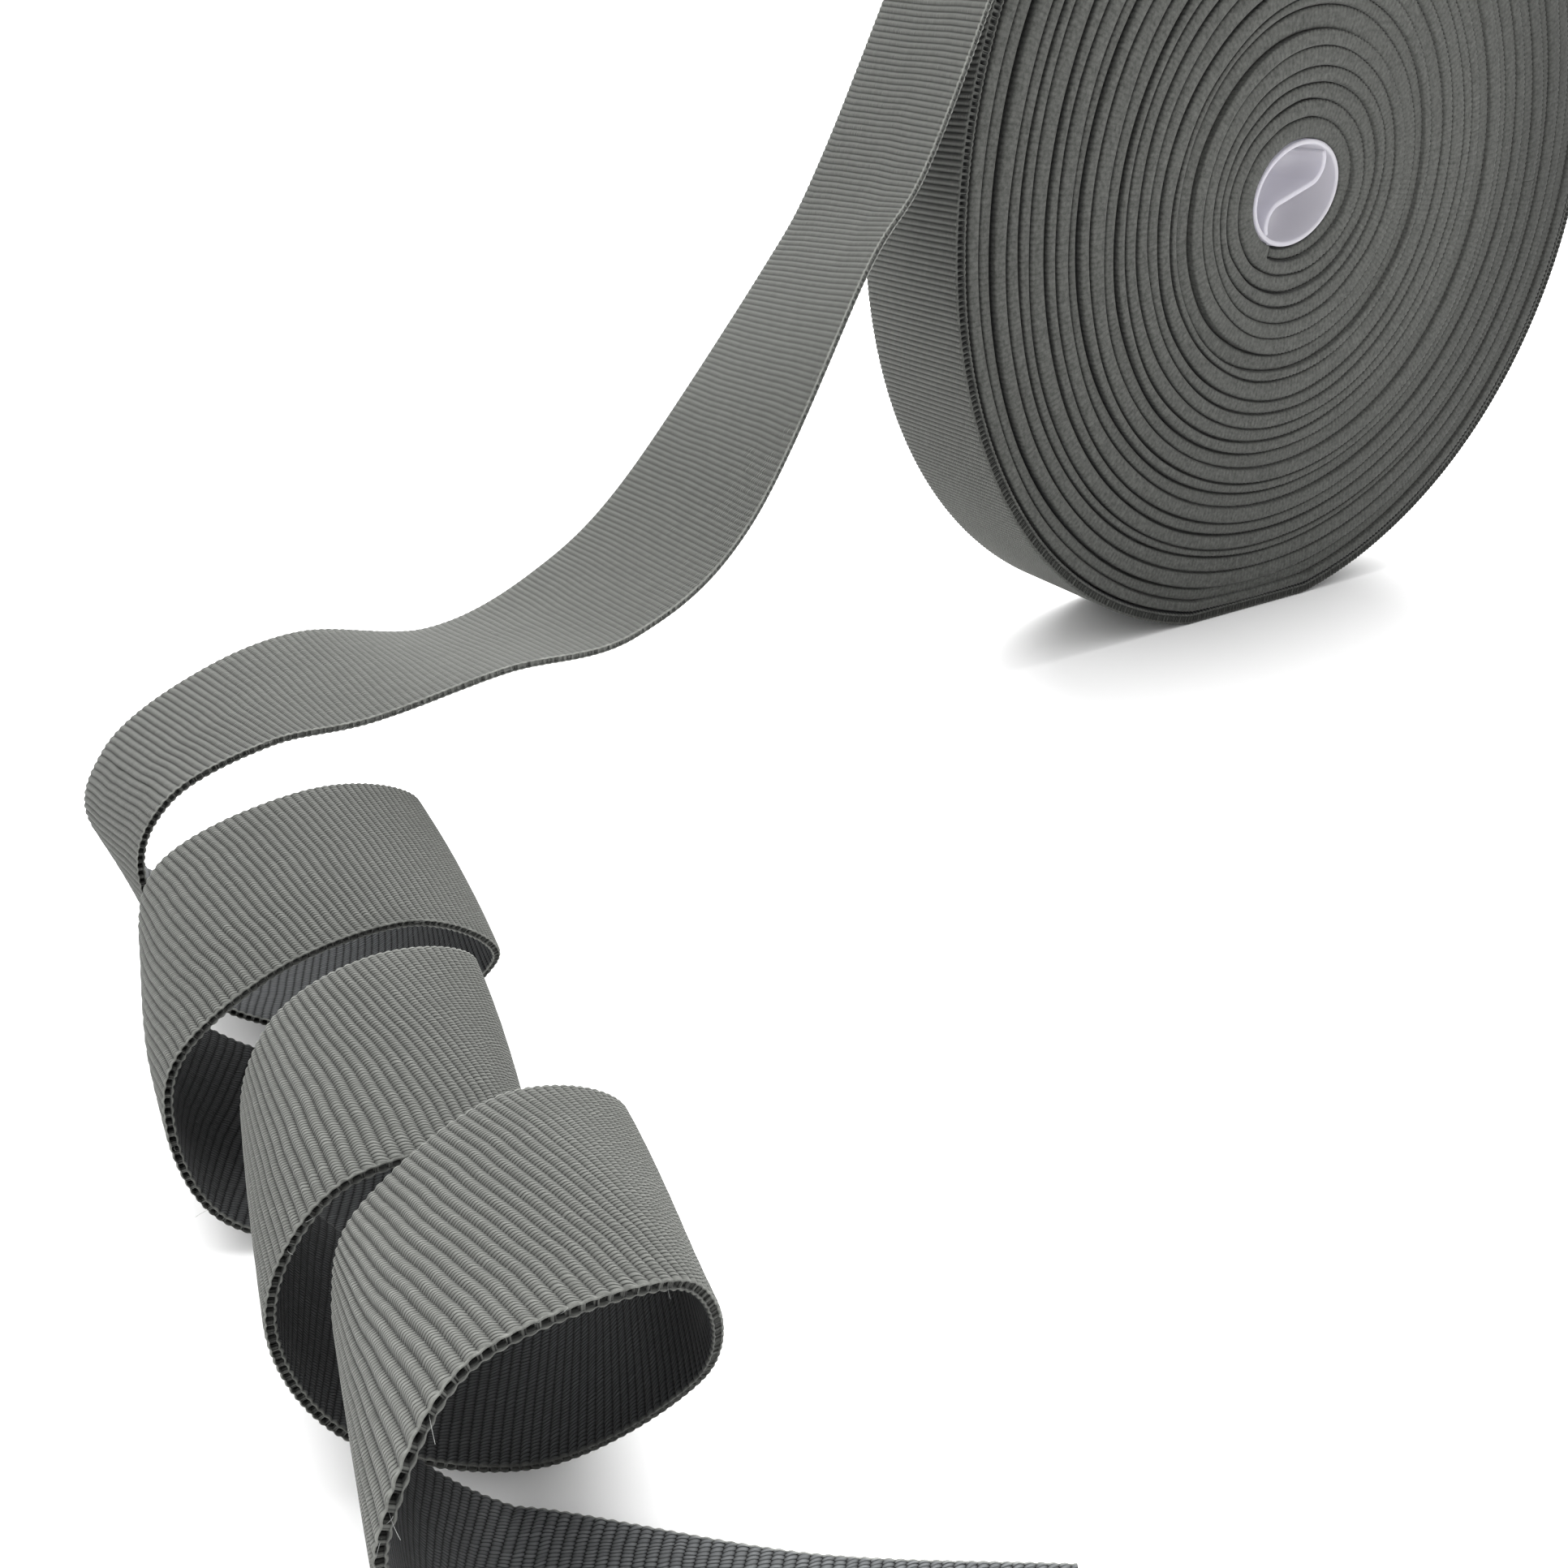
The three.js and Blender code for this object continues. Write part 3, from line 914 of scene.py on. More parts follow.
@dataclass
class Winding:
    """The wound turns: a spiral from the oval core out to the roll's slightly squashed outline.

    Attributes:
        centre_height: how high the roll's axis lies.
        roll_radius: the mean radius under the outermost turn.
        lobes: how the outline departs from a round: waves, and their cosine and sine.
        outline_rise: the radius from which the turns take the outline, and over how much.
        departure: the angle at which the loose end leaves the roll.
        join_gap: how many degrees before the departure the last cross-section stands.
        outer_step: how much the outermost turn rises.
        core_half_long: half the core's long axis.
        core_half_short: half its short axis.
        core_lean: the angle of its long axis.
        core_rise: how far the inmost turn's outer face lies from the core.
        core_gap: how far its inner face lies from the core.
        oval_fade: the radius from which the turns lose the core's oval, and over how much.
        turns: how many turns there are.
        clearance: the space between a turn and the next.
        narrow_gap: how much thinner than its space a turn is where its gap is closed.
        wide_gap: the same where its gap is open.
        swell_turns: over how many turns from the departure the cloth takes its space.
        open_side: the angle at which the gaps are most open.
        least_open: how open they are opposite that.
        side_power: how narrow the open side is.
        mean_open: how open they are on the open side, before they change from place to place.
        gap_waves: how open the gaps are from turn to turn, as inward_waves takes it.
        gap_patches: how open they are round the roll, as round_waves takes it.
        smooth_ring: the radius of a ring of closed gaps, and its width.
        ring_closed: how far they are closed there.
        soft_rise: where from the core out the gaps opposite the open side close, and over how much.
        soft_fade: where they open again further out, and over how much.
        soft_closed: how far they close between.
        pitch_waves: how the turns' spacing changes, as inward_waves takes it.
        wobbles: how the turns waver, as round_waves takes it.
        dish: how far the near edges stand back, by radius.
        inner_sink: how far all but the outermost turn stand back beside that.
        sink_waves: how that changes from turn to turn, as inward_waves takes it.
        sink_patches: how it changes round the roll, as round_waves takes it.
        press_turns: how many turns are pressed flat where the roll stands.
        right_shade: how much darker the right side of the face is painted, as painted shade.
        right_span: how far round it reaches, in degrees.
        right_rise: the radius from which it darkens, and over how much.
        leaving: the angle over which the outermost turn swings into the loose end.
        leaving_y: how far it shifts.
        leaving_heading: how far its edge turns, in degrees.
        leaving_tilt: how far its edge tilts, in degrees.
    """

    centre_height: float = 80.15
    roll_radius: float = 81.85
    lobes: tuple = ((2, -0.2, -2.2), (3, 1.0, -1.0))
    outline_rise: tuple = (30, 45)
    departure: float = 146.0
    join_gap: float = 0.6
    outer_step: float = 2.0
    core_half_long: float = CORE_HALF_LONG
    core_half_short: float = CORE_HALF_SHORT
    core_lean: float = CORE_LEAN
    core_rise: float = 2.1
    core_gap: float = 0.1
    oval_fade: tuple = (12, 26)
    turns: float = 26.74
    clearance: float = 0.04
    narrow_gap: float = 0.07
    wide_gap: float = 0.5
    swell_turns: float = 0.2
    open_side: float = 188.0
    least_open: float = 0.06
    side_power: float = 1.5
    mean_open: float = 0.75
    gap_waves: tuple = ((0.31, 0.2, 0.6), (0.47, 0.15, 0.0))
    gap_patches: tuple = ((5, 2.3, 0.12, 0.0), (13, 1.0, 0.08, 0.0))
    smooth_ring: tuple = (27, 3.2)
    ring_closed: float = 0.93
    soft_rise: tuple = (24, 8)
    soft_fade: tuple = (66, -14)
    soft_closed: float = 0.75
    pitch_waves: tuple = ((0.23, 0.3, 0.4), (0.37, 0.26, 2.1), (0.46, 0.2, 4.0))
    wobbles: tuple = (
        (2, 1.3, 0.16, 0.5), (3, -0.9, 0.12, 1.9), (7, 2.1, 0.05, 0.0), (11, 2.7, 0.03, 2.0)
    )
    dish: tuple = (
        (10.0, 2.6), (16.0, 2.0), (21.0, 1.2), (24.0, 0.7), (31.0, 1.0), (42.0, 0.15), (90.0, 0.0)
    )
    inner_sink: float = 0.2
    sink_waves: tuple = ((0.41, 0.2, 1.0), (0.29, 0.14, 3.0))
    sink_patches: tuple = ((3, 1.7, 0.06, 0.0),)
    press_turns: float = 3.0
    right_shade: float = 0.35
    right_span: float = 55.0
    right_rise: tuple = (40, 35)
    leaving: float = 60.0
    leaving_y: float = -1.5
    leaving_heading: float = 1.0
    leaving_tilt: float = 2.0

    def angles(self) -> np.ndarray:
        """The total angle of every cross-section, in degrees, which grows outwards."""
        last = self.departure + 360 - self.join_gap
        return np.arange(last - 360 * self.turns + self.join_gap, last, 1.0)

    def inward(self, angle: np.ndarray) -> np.ndarray:
        """How many turns lie between a place on the spiral and its outer end."""
        return (self.departure + 360 - angle) / 360

    def lobe(self, angle: np.ndarray) -> np.ndarray:
        """How far the outline stands out from a round.

        Args:
            angle: places in degrees.

        Returns:
            The distance at each place.
        """
        parts = []
        for waves, cosine, sine in self.lobes:
            turn = np.radians(waves * angle)
            parts.append(cosine * np.cos(turn) + sine * np.sin(turn))
        return np.sum(parts, axis=0)

    def core_radius(self, angle: np.ndarray) -> np.ndarray:
        """The oval core's radius.

        Args:
            angle: places in degrees.

        Returns:
            The radius at each place.
        """
        lean = np.radians(angle - self.core_lean)
        long, short = self.core_half_long, self.core_half_short
        return long * short / np.hypot(short * np.cos(lean), long * np.sin(lean))

    def radius(self, angle: np.ndarray) -> np.ndarray:
        """The outer face's radius on the spiral, which ends one turn past the departure.

        Args:
            angle: total angles in degrees.

        Returns:
            The radius at each of them.
        """
        u = self.inward(angle)
        mean_core = (self.core_half_long + self.core_half_short) / 2
        pitch = (self.roll_radius - (mean_core + self.core_rise)) / (self.turns - 1)
        depth = np.where(u < 1, self.outer_step * u, self.outer_step + pitch * (u - 1))
        loose = ease(u - 1) * ease((self.turns - u) / 2)
        depth = depth + loose * inward_waves(self.pitch_waves, u)
        base = self.roll_radius + self.outer_step - depth
        outline = rise(base, *self.outline_rise) * self.lobe(angle)
        oval = (1 - rise(base, *self.oval_fade)) * (self.core_radius(angle) - mean_core)
        return base + outline + oval + loose * round_waves(self.wobbles, angle, u)

    def gap(self, angle: np.ndarray, radius: np.ndarray) -> np.ndarray:
        """How open the gap below a turn is: widest on one side, closed round the smooth ring.

        Args:
            angle: total angles in degrees.
            radius: the radius at each of them.

        Returns:
            The openness at each of them, from 0 to 1.
        """
        u = self.inward(angle)
        side = 0.5 + 0.5 * np.cos(np.radians(angle - self.open_side))
        ring, ring_width = self.smooth_ring
        smooth = 1 - self.ring_closed * np.exp(-(((radius - ring) / ring_width) ** 2))
        change = inward_waves(self.gap_waves, u) + round_waves(self.gap_patches, angle, u)
        soft = rise(radius, *self.soft_rise) * rise(radius, *self.soft_fade) * (1 - side) ** 2
        openness = self.least_open + (1 - self.least_open) * side**self.side_power
        openness = openness * (1 - self.soft_closed * soft)
        return np.clip(openness * (self.mean_open + change) * smooth, 0, 1)

    def course(self, weave: Weave) -> Course:
        """The wound turns' cross-sections, from the core to the departure.

        Args:
            weave: the cloth's sizes.

        Returns:
            The wound turns' run.
        """
        angle = self.angles()
        turn = np.radians(angle)
        u = self.inward(angle)
        radius = self.radius(angle)

        # Where the roll stands, its outer turns are pressed flat.
        rim = self.radius(self.departure + np.mod(angle - self.departure, 360))
        pressed = np.maximum(0, -(self.centre_height + rim * np.sin(turn)))
        pressed = pressed * np.clip(1 - (u - 1) / self.press_turns, 0, 1)
        z = self.centre_height + radius * np.sin(turn) + pressed
        leaving = ease(1 - u * 360 / self.leaving)

        # The room down to the next turn, and how much of it the cloth fills.
        below = np.where(
            u < self.turns - 1, self.radius(angle - 360), self.core_radius(angle) + self.core_gap
        )
        gap = self.gap(angle, radius)
        reach = np.maximum(radius - below - self.clearance, weave.thickness)
        wound = reach - self.narrow_gap - (self.wide_gap - self.narrow_gap) * gap
        wound = np.maximum(wound, weave.thickness)
        thickness = weave.thickness + (wound - weave.thickness) * ease(u / self.swell_turns)

        unevenness = inward_waves(self.sink_waves, u) + round_waves(self.sink_patches, angle, u)
        # Painted shade: the right side of the face is darkened towards the rim.
        from_right = np.mod(angle + 180, 360) - 180
        right = np.exp(-((from_right / self.right_span) ** 2)) * rise(radius, *self.right_rise)
        return Course(
            middle=np.stack([radius * np.cos(turn), self.leaving_y * leaving, z], -1),
            edge=aimed(-90 + self.leaving_heading * leaving, self.leaving_tilt * leaving),
            reach=np.maximum(reach, thickness),
            thickness=thickness,
            sink=looked_up(self.dish, radius) + ease(u - 1) * (unevenness + self.inner_sink),
            gap=gap,
            painted_light=1 - self.right_shade * right * ease(u),
        )


# ---------------------------------------------------------------- cloth meshes


@dataclass(frozen=True)
class RingPoint:
    """A point of the ribbon's cross-section.

    Attributes:
        depth: its place through the thickness, 0 on the outer face and 1 on the inner one.
        across: its distance from the middle line, in millimetres, positive to the near edge.
        loop: how far it sinks into the open loop at each rib's end.
        filled: how far it reaches down to the next turn.
        shade: how much painted shade it takes where it lies between two turns.
        rib: how far it follows the rib's relief.
        fall: how far it falls back where the gap to the next turn is open.
    """

    depth: float
    across: float
    loop: float = 0.0
    filled: float = 0.0
    shade: float = 0.0
    rib: float = 1.0
    fall: float = 0.0


def selvedge(side: int) -> list[RingPoint]:
    """The fine cross-section of one edge, from the outer face to the inner one.

    Args:
        side: 1 for the near edge and -1 for the far one.

    Returns:
        The edge's points.
    """
    outline = (
        (0.0, 12.2, 0),
        (0.05, 12.42, 0),
        (0.17, 12.5, 0),
        (0.22, 12.46, 1),
        (0.48, 12.46, 1),
        (0.74, 12.46, 1),
        (0.8, 12.5, 0),
        (0.94, 12.44, 0),
        (1.0, 12.2, 0),
    )
    return [RingPoint(depth, side * across, loop, rib=0.6) for depth, across, loop in outline]


def fine_ring(outer: int = 4, inner: int = 4, half_face: float = 10.2) -> list[RingPoint]:
    """The cross-section of the ribbon where it is seen close.

    Args:
        outer: how many points the outer face has between its edges.
        inner: how many the inner face has.
        half_face: how far they reach from the middle line.

    Returns:
        The points, in a ring.
    """
    below = [RingPoint(1.0, a, filled=1.0) for a in np.linspace(half_face, -half_face, inner)]
    above = [RingPoint(0.0, a) for a in np.linspace(-half_face, half_face, outer)]
    return selvedge(1) + below + selvedge(-1)[::-1] + above


def wound_ring() -> list[RingPoint]:
    """The plainer cross-section of the inner turns, of which only the edges show.

    Returns:
        The points, in a ring.
    """
    near = [
        RingPoint(0.0, 12.4, shade=0.9, fall=1.5),
        RingPoint(0.02, 12.45, shade=0.3, fall=0.3),
        RingPoint(0.16, 12.5, rib=0.65),
        RingPoint(0.55, 12.52, rib=0.08),
        RingPoint(0.86, 12.49, rib=0),
        RingPoint(0.98, 12.42, shade=0.3, rib=0, fall=0.25),
        RingPoint(1.0, 12.4, shade=0.9, rib=0, fall=1.4),
        RingPoint(1.0, 12.3, filled=1.0, shade=1.0, rib=0, fall=1.6),
    ]
    return near + [replace(point, across=-point.across) for point in reversed(near)]


@dataclass
class Strip:
    """A length of the ribbon as one closed mesh.

    Attributes:
        name: the piece's name.
        course: the run that it follows.
        first: the rib that it starts at, counted from where the loose end leaves the roll.
        last: the rib that it ends at.
        ring: its cross-section.
        phases: where the cross-sections stand in each rib, from 0 in one groove to 1 in the next.
        weave: the cloth's sizes.
    """

    name: str
    course: Course
    first: int
    last: int
    ring: list
    phases: tuple
    weave: Weave = field(default_factory=Weave)

    def skewed(self, along: np.ndarray, across: np.ndarray) -> np.ndarray:
        """Where points lie along the run once the ribs slant a little and waver.

        Args:
            along: the distance along of each cross-section.
            across: the distance across of each ring point.

        Returns:
            The distance along of every point.
        """
        waver = sum(
            size * np.sin(by_across * across + by_along * along)
            for size, by_across, by_along in self.weave.wavers
        )
        waver = waver * ease(along / self.weave.waver_rise)
        return along + across * looked_up(self.weave.slant, along) + waver

    def stations(self) -> tuple[np.ndarray, np.ndarray]:
        """Where the cross-sections stand.

        Returns:
            The distance along of each, and its place within its rib.
        """
        ribs = np.arange(self.first, self.last)[:, None] + np.array(self.phases)[None]
        ribs = np.append(ribs.ravel(), self.last)
        return ribs * self.weave.rib_pitch, ribs - np.floor(ribs)

    def sampled(self, values: np.ndarray, along: np.ndarray) -> np.ndarray:
        """A value of the run at distances along.

        Args:
            values: one number or one vector for each of the run's cross-sections.
            along: the distances.

        Returns:
            The number or vector at each distance.
        """
        if values.ndim == 1:
            return np.interp(along, self.course.along, values)
        return np.stack([np.interp(along, self.course.along, part) for part in values.T], -1)

    def points(self) -> tuple[np.ndarray, dict[str, np.ndarray]]:
        """Every vertex's place, and the values that the cloth's material reads there.

        Returns:
            The places in metres and the values by name, all by station and ring point.
        """
        weave, course = self.weave, self.course
        along, phase = self.stations()
        along, phase = along[:, None], phase[:, None]
        ring = np.array([astuple(point) for point in self.ring], float).T[:, None]
        depth, across, loop, filled, shade, rib, fall = ring
        rim, side = np.abs(across), np.sign(across)

        place = self.skewed(along, across)
        sampled = [course.middle, course.edge, *course.rates(), course.bulge(weave)]
        sampled += [course.reach, course.thickness, course.sink, course.gap, course.painted_light]
        middle, edge, run, swing, bulge, reach, thickness, sink, gap, painted_light = (
            self.sampled(values, place) for values in sampled
        )
        edge = unit(edge)

        # Ribs, the loops at their ends, and edges that stand back or fall away between turns.
        openness = looked_up(weave.openness, along)
        relief = looked_up(weave.relief, along)
        valley = (0.5 + 0.5 * np.cos(2 * math.pi * phase)) ** weave.groove_sharpness * rib * relief
        opening = loop * rise(0.5 - np.abs(phase - 0.5), *weave.loop_rise) * openness
        give = weave.closed_give + (1 - weave.closed_give) * gap
        pulled = weave.notch * valley * (rim > weave.notch_from) + weave.loop_depth * opening
        pulled = pulled + np.where(side > 0, sink, 0) * (rim > weave.sink_from) + fall * give
        across = across - side * pulled
        groove = weave.outer_groove * (1 - depth) - weave.inner_groove * depth * (1 - filled)
        below = depth * thickness + filled * (reach - thickness) + valley * groove

        # Out from the middle line to the point, then down through the cloth, above the surface.
        outward = unit(np.cross(run + across[..., None] * swing, edge))
        raised = weave.bulge_share * bulge * (1 - (2 * across / weave.width) ** 2)
        outer = middle + across[..., None] * edge + raised[..., None] * outward
        made = outer - below[..., None] * outward
        lower = np.minimum(outer[..., 2], outer[..., 2] - thickness * outward[..., 2])
        made[..., 2] = np.maximum(made[..., 2] + np.maximum(0, -lower), 0)

        loose, solid = along > 0, loop < 0.5
        # Painted light and shade on the inner face, by distance along.
        painted_inner_light = np.where((depth > 0.9) & loose, looked_up(weave.inner_painted_light, along), 1)
        # Painted light on the rims where the loops are closed, which face down away from the light.
        lift = np.where(rim > weave.rim_from, 1 + weave.closed_edge_painted_light * (1 - openness), 1)
        thread = (rim > weave.thread_from) & solid & loose
        values = {
            "painted_light": painted_light * painted_inner_light * lift,
            "relief": relief,
            "thread": thread * (1 - weave.thread_fade * depth),
            "along": along,
            "across": across,
            "face": depth,
            # Painted shade in the open loops and in the gaps between turns.
            "painted_shade": np.clip(weave.loop_shade * opening + shade * give, 0, 1),
            "end": (rim > weave.rim_from) & solid,
        }
        return made * MM, {name: np.broadcast_to(v, place.shape) for name, v in values.items()}

    def build(self) -> bpy.types.Object:
        """Makes the closed mesh: a grid rolled into a tube along the run, with its ends filled.

        Returns:
            The piece.
        """
        made, values = self.points()
        stations, around = made.shape[:2]
        bm = bmesh.new()
        bmesh.ops.create_grid(bm, x_segments=around, y_segments=stations - 1, size=1.0)
        piece = new_piece(self.name, bm)
        mesh = piece.data
        flat = np.zeros(len(mesh.vertices) * 3, np.float32)
        mesh.vertices.foreach_get("co", flat)
        flat = flat.reshape(-1, 3)
        column = np.rint((flat[:, 0] + 1) / 2 * around).astype(int)
        row = np.rint((flat[:, 1] + 1) / 2 * (stations - 1)).astype(int)
        here = (row, column % around)
        mesh.vertices.foreach_set("co", made[here].astype(np.float32).ravel())
        for name, value in values.items():
            stored = mesh.attributes.new(name, "FLOAT", "POINT")
            stored.data.foreach_set("value", value[here].astype(np.float32))
        self.close(mesh, np.nonzero((column == 0) | (column == around))[0])
        return piece

    def close(self, mesh: bpy.types.Mesh, seam: np.ndarray) -> None:
        """Merges the grid's two long sides, fills its ends, and turns its faces outwards.

        Args:
            mesh: the rolled grid.
            seam: the numbers of the vertices on its long sides.
        """
        bm = bmesh.new()
        bm.from_mesh(mesh)
        bm.verts.ensure_lookup_table()
        bmesh.ops.remove_doubles(bm, verts=[bm.verts[i] for i in seam], dist=1e-7)
        ends = [edge for edge in bm.edges if edge.is_boundary]
        caps = bmesh.ops.holes_fill(bm, edges=ends, sides=0)["faces"]
        bmesh.ops.triangulate(bm, faces=caps)
        bmesh.ops.recalc_face_normals(bm, faces=bm.faces)
        for face in bm.faces:
            face.smooth = True
        bm.to_mesh(mesh)
        bm.free()


FINE_PHASES = (0.0, 0.13, 0.3, 0.5, 0.7, 0.87)
WOUND_PHASES = (0.0, 0.5)


@dataclass
class Ribbon:
    """The whole ribbon: the wound turns, the outermost turn and the loose end.

    Attributes:
        run: the loose end's run.
        winding: the wound turns' run.
        weave: the cloth's sizes.
        cloth: its finish.
        wound_pieces: how many pieces the turns under the outermost one are made in.
        tape_length: how far from the roll the loose end is made of the plainer tape.
    """

    run: LooseRun = field(default_factory=LooseRun)
    winding: Winding = field(default_factory=Winding)
    weave: Weave = field(default_factory=Weave)
    cloth: GrosgrainCloth = field(default_factory=GrosgrainCloth)
    wound_pieces: int = 3
    tape_length: float = 190.0

    def build(self) -> list[bpy.types.Object]:
        """Builds every length of the ribbon.

        Returns:
            The pieces, the loose end last.
        """
        wound = self.winding.course(self.weave)
        course = wound.joined(self.run.course(self.weave))
        pitch = self.weave.rib_pitch
        outermost = np.argmax(self.winding.inward(self.winding.angles()) < 1.0)
        outer_rib = math.ceil(course.along[outermost] / pitch)
        first_rib = math.ceil(course.along[0] / pitch)
        last_rib = math.floor(course.along[-1] / pitch)
        split = math.floor(self.tape_length / pitch)
        cuts = np.linspace(first_rib, outer_rib, self.wound_pieces + 1).astype(int)
        self.strips = [
            Strip(f"wound_turns_{i + 1}", course, int(a), int(b), wound_ring(), WOUND_PHASES)
            for i, (a, b) in enumerate(zip(cuts[:-1], cuts[1:]))
        ] + [
            Strip("outermost_turn", course, outer_rib, 0, fine_ring(), FINE_PHASES),
            Strip("loose_tape", course, 0, split, fine_ring(6, 6), FINE_PHASES),
            Strip("loose_coils", course, split, last_rib, fine_ring(8, 6), FINE_PHASES),
        ]
        return [strip.build() for strip in self.strips]

    def dress(self, pieces: list[bpy.types.Object]) -> None:
        """Gives the pieces their cloth, hangs them under the root, hides the CAD nodes that they
        take the place of and logs their lengths.

        Args:
            pieces: the built pieces, in order.
        """
        cloth = self.cloth.material()
        for strip, piece in zip(self.strips, pieces):
            piece.data.materials.append(cloth)
            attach(piece, "root")
            length = (strip.last - strip.first) * self.weave.rib_pitch * MM
            loose = strip.first >= 0
            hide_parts("loose_end" if loose else "roll")
            log.info("%s: %d ribs, %.3f m of ribbon", piece.name, strip.last - strip.first, length)


# ---------------------------------------------------------------- the core


@dataclass
class Core:
    """The plastic core: an oval tube with an S-shaped web across it, its rims softly rounded.

    Attributes:
        half_long: half the oval's long axis.
        half_short: half its short axis.
        lean: the angle of its long axis, in degrees.
        wall: the tube's wall.
        rim_rounding: how far its rims are rounded.
        web_thickness: the web's thickness.
        web_setback: how far its ends stand back from the tube's.
        web_rounding: how far its front edge is rounded.
        web_tilt: the angle of its straight middle, in degrees.
        web_straight: half the length of that.
        web_bend: the radius of the bend at either end.
        web_bend_angle: how far that turns, in degrees.
        web_join: how far into the wall the web reaches, as a share of the wall.
        plastic: the core's finish.
    """

    half_long: float = CORE_HALF_LONG
    half_short: float = CORE_HALF_SHORT
    lean: float = CORE_LEAN
    wall: float = 0.9
    rim_rounding: float = 0.3
    web_thickness: float = 1.0
    web_setback: float = 0.35
    web_rounding: float = 0.25
    web_tilt: float = 20.0
    web_straight: float = 4.3
    web_bend: float = 3.8
    web_bend_angle: float = 100.0
    web_join: float = 0.6
    plastic: CorePlastic = field(default_factory=CorePlastic)

    def build(self) -> bpy.types.Object:
        """Builds the core inside the space of its CAD node.

        Returns:
            The core.
        """
        low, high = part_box("core")
        self.near, self.far = low.y, high.y
        self.middle = (low + high) / 2
        bm = bmesh.new()
        self.add_wall(bm)
        self.add_web(bm)
        for face in bm.faces:
            face.smooth = True
        return new_piece("ribbon_core", bm)

    def oval(self, bm: bmesh.types.BMesh, inset: float, y: float) -> list[bmesh.types.BMEdge]:
        """Adds a closed oval line.

        Args:
            bm: the mesh that it is added to.
            inset: how far it is drawn in, in millimetres.
            y: its place along the core, in metres.

        Returns:
            Its edges.
        """
        sizes = ((self.half_long - inset) * MM, (self.half_short - inset) * MM, 1, 1)
        turn = Matrix.Rotation(math.radians(self.lean), 4, "Z")
        stand = Matrix.Rotation(math.radians(90), 4, "X")
        place = Matrix.Translation((0, y, self.middle.z)) @ stand @ turn @ Matrix.Diagonal(sizes)
        made = bmesh.ops.create_circle(bm, segments=96, radius=1, matrix=place)
        return list({edge for vert in made["verts"] for edge in vert.link_edges})

    def add_wall(self, bm: bmesh.types.BMesh) -> None:
        """Adds the tube: four ovals bridged into a closed wall, with its rims rounded.

        Args:
            bm: the mesh that it is added to.
        """
        corners = ((0, self.near), (self.wall, self.near), (self.wall, self.far), (0, self.far))
        ovals = [self.oval(bm, inset, y) for inset, y in corners]
        for a, b in zip(ovals, ovals[1:] + ovals[:1]):
            bmesh.ops.bridge_loops(bm, edges=a + b)
        round_edges(bm, [edge for oval in ovals for edge in oval], self.rim_rounding)
        bmesh.ops.recalc_face_normals(bm, faces=bm.faces)

    def web_line(self) -> list[Vector]:
        """The web's middle line in the plane of the core's end, from one wall to the other.

        Returns:
            Its points, before the web is tilted.
        """
        straight_steps, bend_steps = 4, 14
        corner = Vector((self.web_straight, 0))
        half = [corner * i / straight_steps for i in range(straight_steps + 1)]
        for i in range(1, bend_steps + 1):
            turn = math.radians(self.web_bend_angle * i / bend_steps)
            half.append(corner + Vector((math.sin(turn), 1 - math.cos(turn))) * self.web_bend)
        limit = self.half_long - self.wall * (1 - self.web_join)
        kept = [point for point in half if self.inside_wall(point, limit)]
        return [-point for point in reversed(kept[1:])] + kept

    def inside_wall(self, point: Vector, limit: float) -> bool:
        """Whether a point of the web's line ends in the wall.

        Args:
            point: the point, before the web is tilted.
            limit: the long half axis of the oval that it must lie in.

        Returns:
            True where it lies in that oval.
        """
        turned = Matrix.Rotation(math.radians(self.web_tilt - self.lean), 2) @ point
        share = self.half_short / self.half_long
        return math.hypot(turned.x, turned.y / share) < limit

    def add_web(self, bm: bmesh.types.BMesh) -> None:
        """Adds the web: its middle line drawn along the core, thickened, with a rounded front edge.

        Args:
            bm: the mesh that it is added to.
        """
        tilt = Matrix.Rotation(math.radians(self.web_tilt), 2)
        front, back = self.near + self.web_setback * MM, self.far - self.web_setback * MM
        line = [tilt @ point * MM for point in self.web_line()]
        verts = [bm.verts.new((p.x, front, self.middle.z + p.y)) for p in line]
        edges = [bm.edges.new(pair) for pair in zip(verts[:-1], verts[1:])]
        drawn = bmesh.ops.extrude_edge_only(bm, edges=edges)["geom"]
        moved = [item for item in drawn if isinstance(item, bmesh.types.BMVert)]
        faces = [item for item in drawn if isinstance(item, bmesh.types.BMFace)]
        bmesh.ops.translate(bm, verts=moved, vec=(0, back - front, 0))
        bmesh.ops.recalc_face_normals(bm, faces=faces)

        # Half the thickness goes to either side of the line.
        for vert in verts + moved:
            vert.normal_update()
        shifts = {vert: vert.normal.copy() for vert in verts + moved}
        for vert, normal in shifts.items():
            vert.co += normal * self.web_thickness / 2 * MM
        solid = bmesh.ops.solidify(bm, geom=faces, thickness=self.web_thickness * MM)["geom"]
        corners = [item for item in solid if isinstance(item, bmesh.types.BMVert)]
        web_faces = {face for vert in corners + verts + moved for face in vert.link_faces}
        bmesh.ops.recalc_face_normals(bm, faces=list(web_faces))

        rim = {
            edge
            for face in web_faces
            for edge in face.edges
            if all(abs(vert.co.y - front) < 1e-6 for vert in edge.verts)
            and len(edge.link_faces) == 2
            and edge.calc_face_angle(0) > 1.0
        }
        round_edges(bm, list(rim), self.web_rounding)

    def dress(self, piece: bpy.types.Object) -> None:
        """Gives the core its plastic and lets it stand for its CAD node.

        Args:
            piece: the built core.
        """
        piece.data.materials.append(self.plastic.material())
        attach(piece, "root")
        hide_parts("core")
        log.info("%s: %d faces", piece.name, len(piece.data.polygons))


# ---------------------------------------------------------------- stray fibres


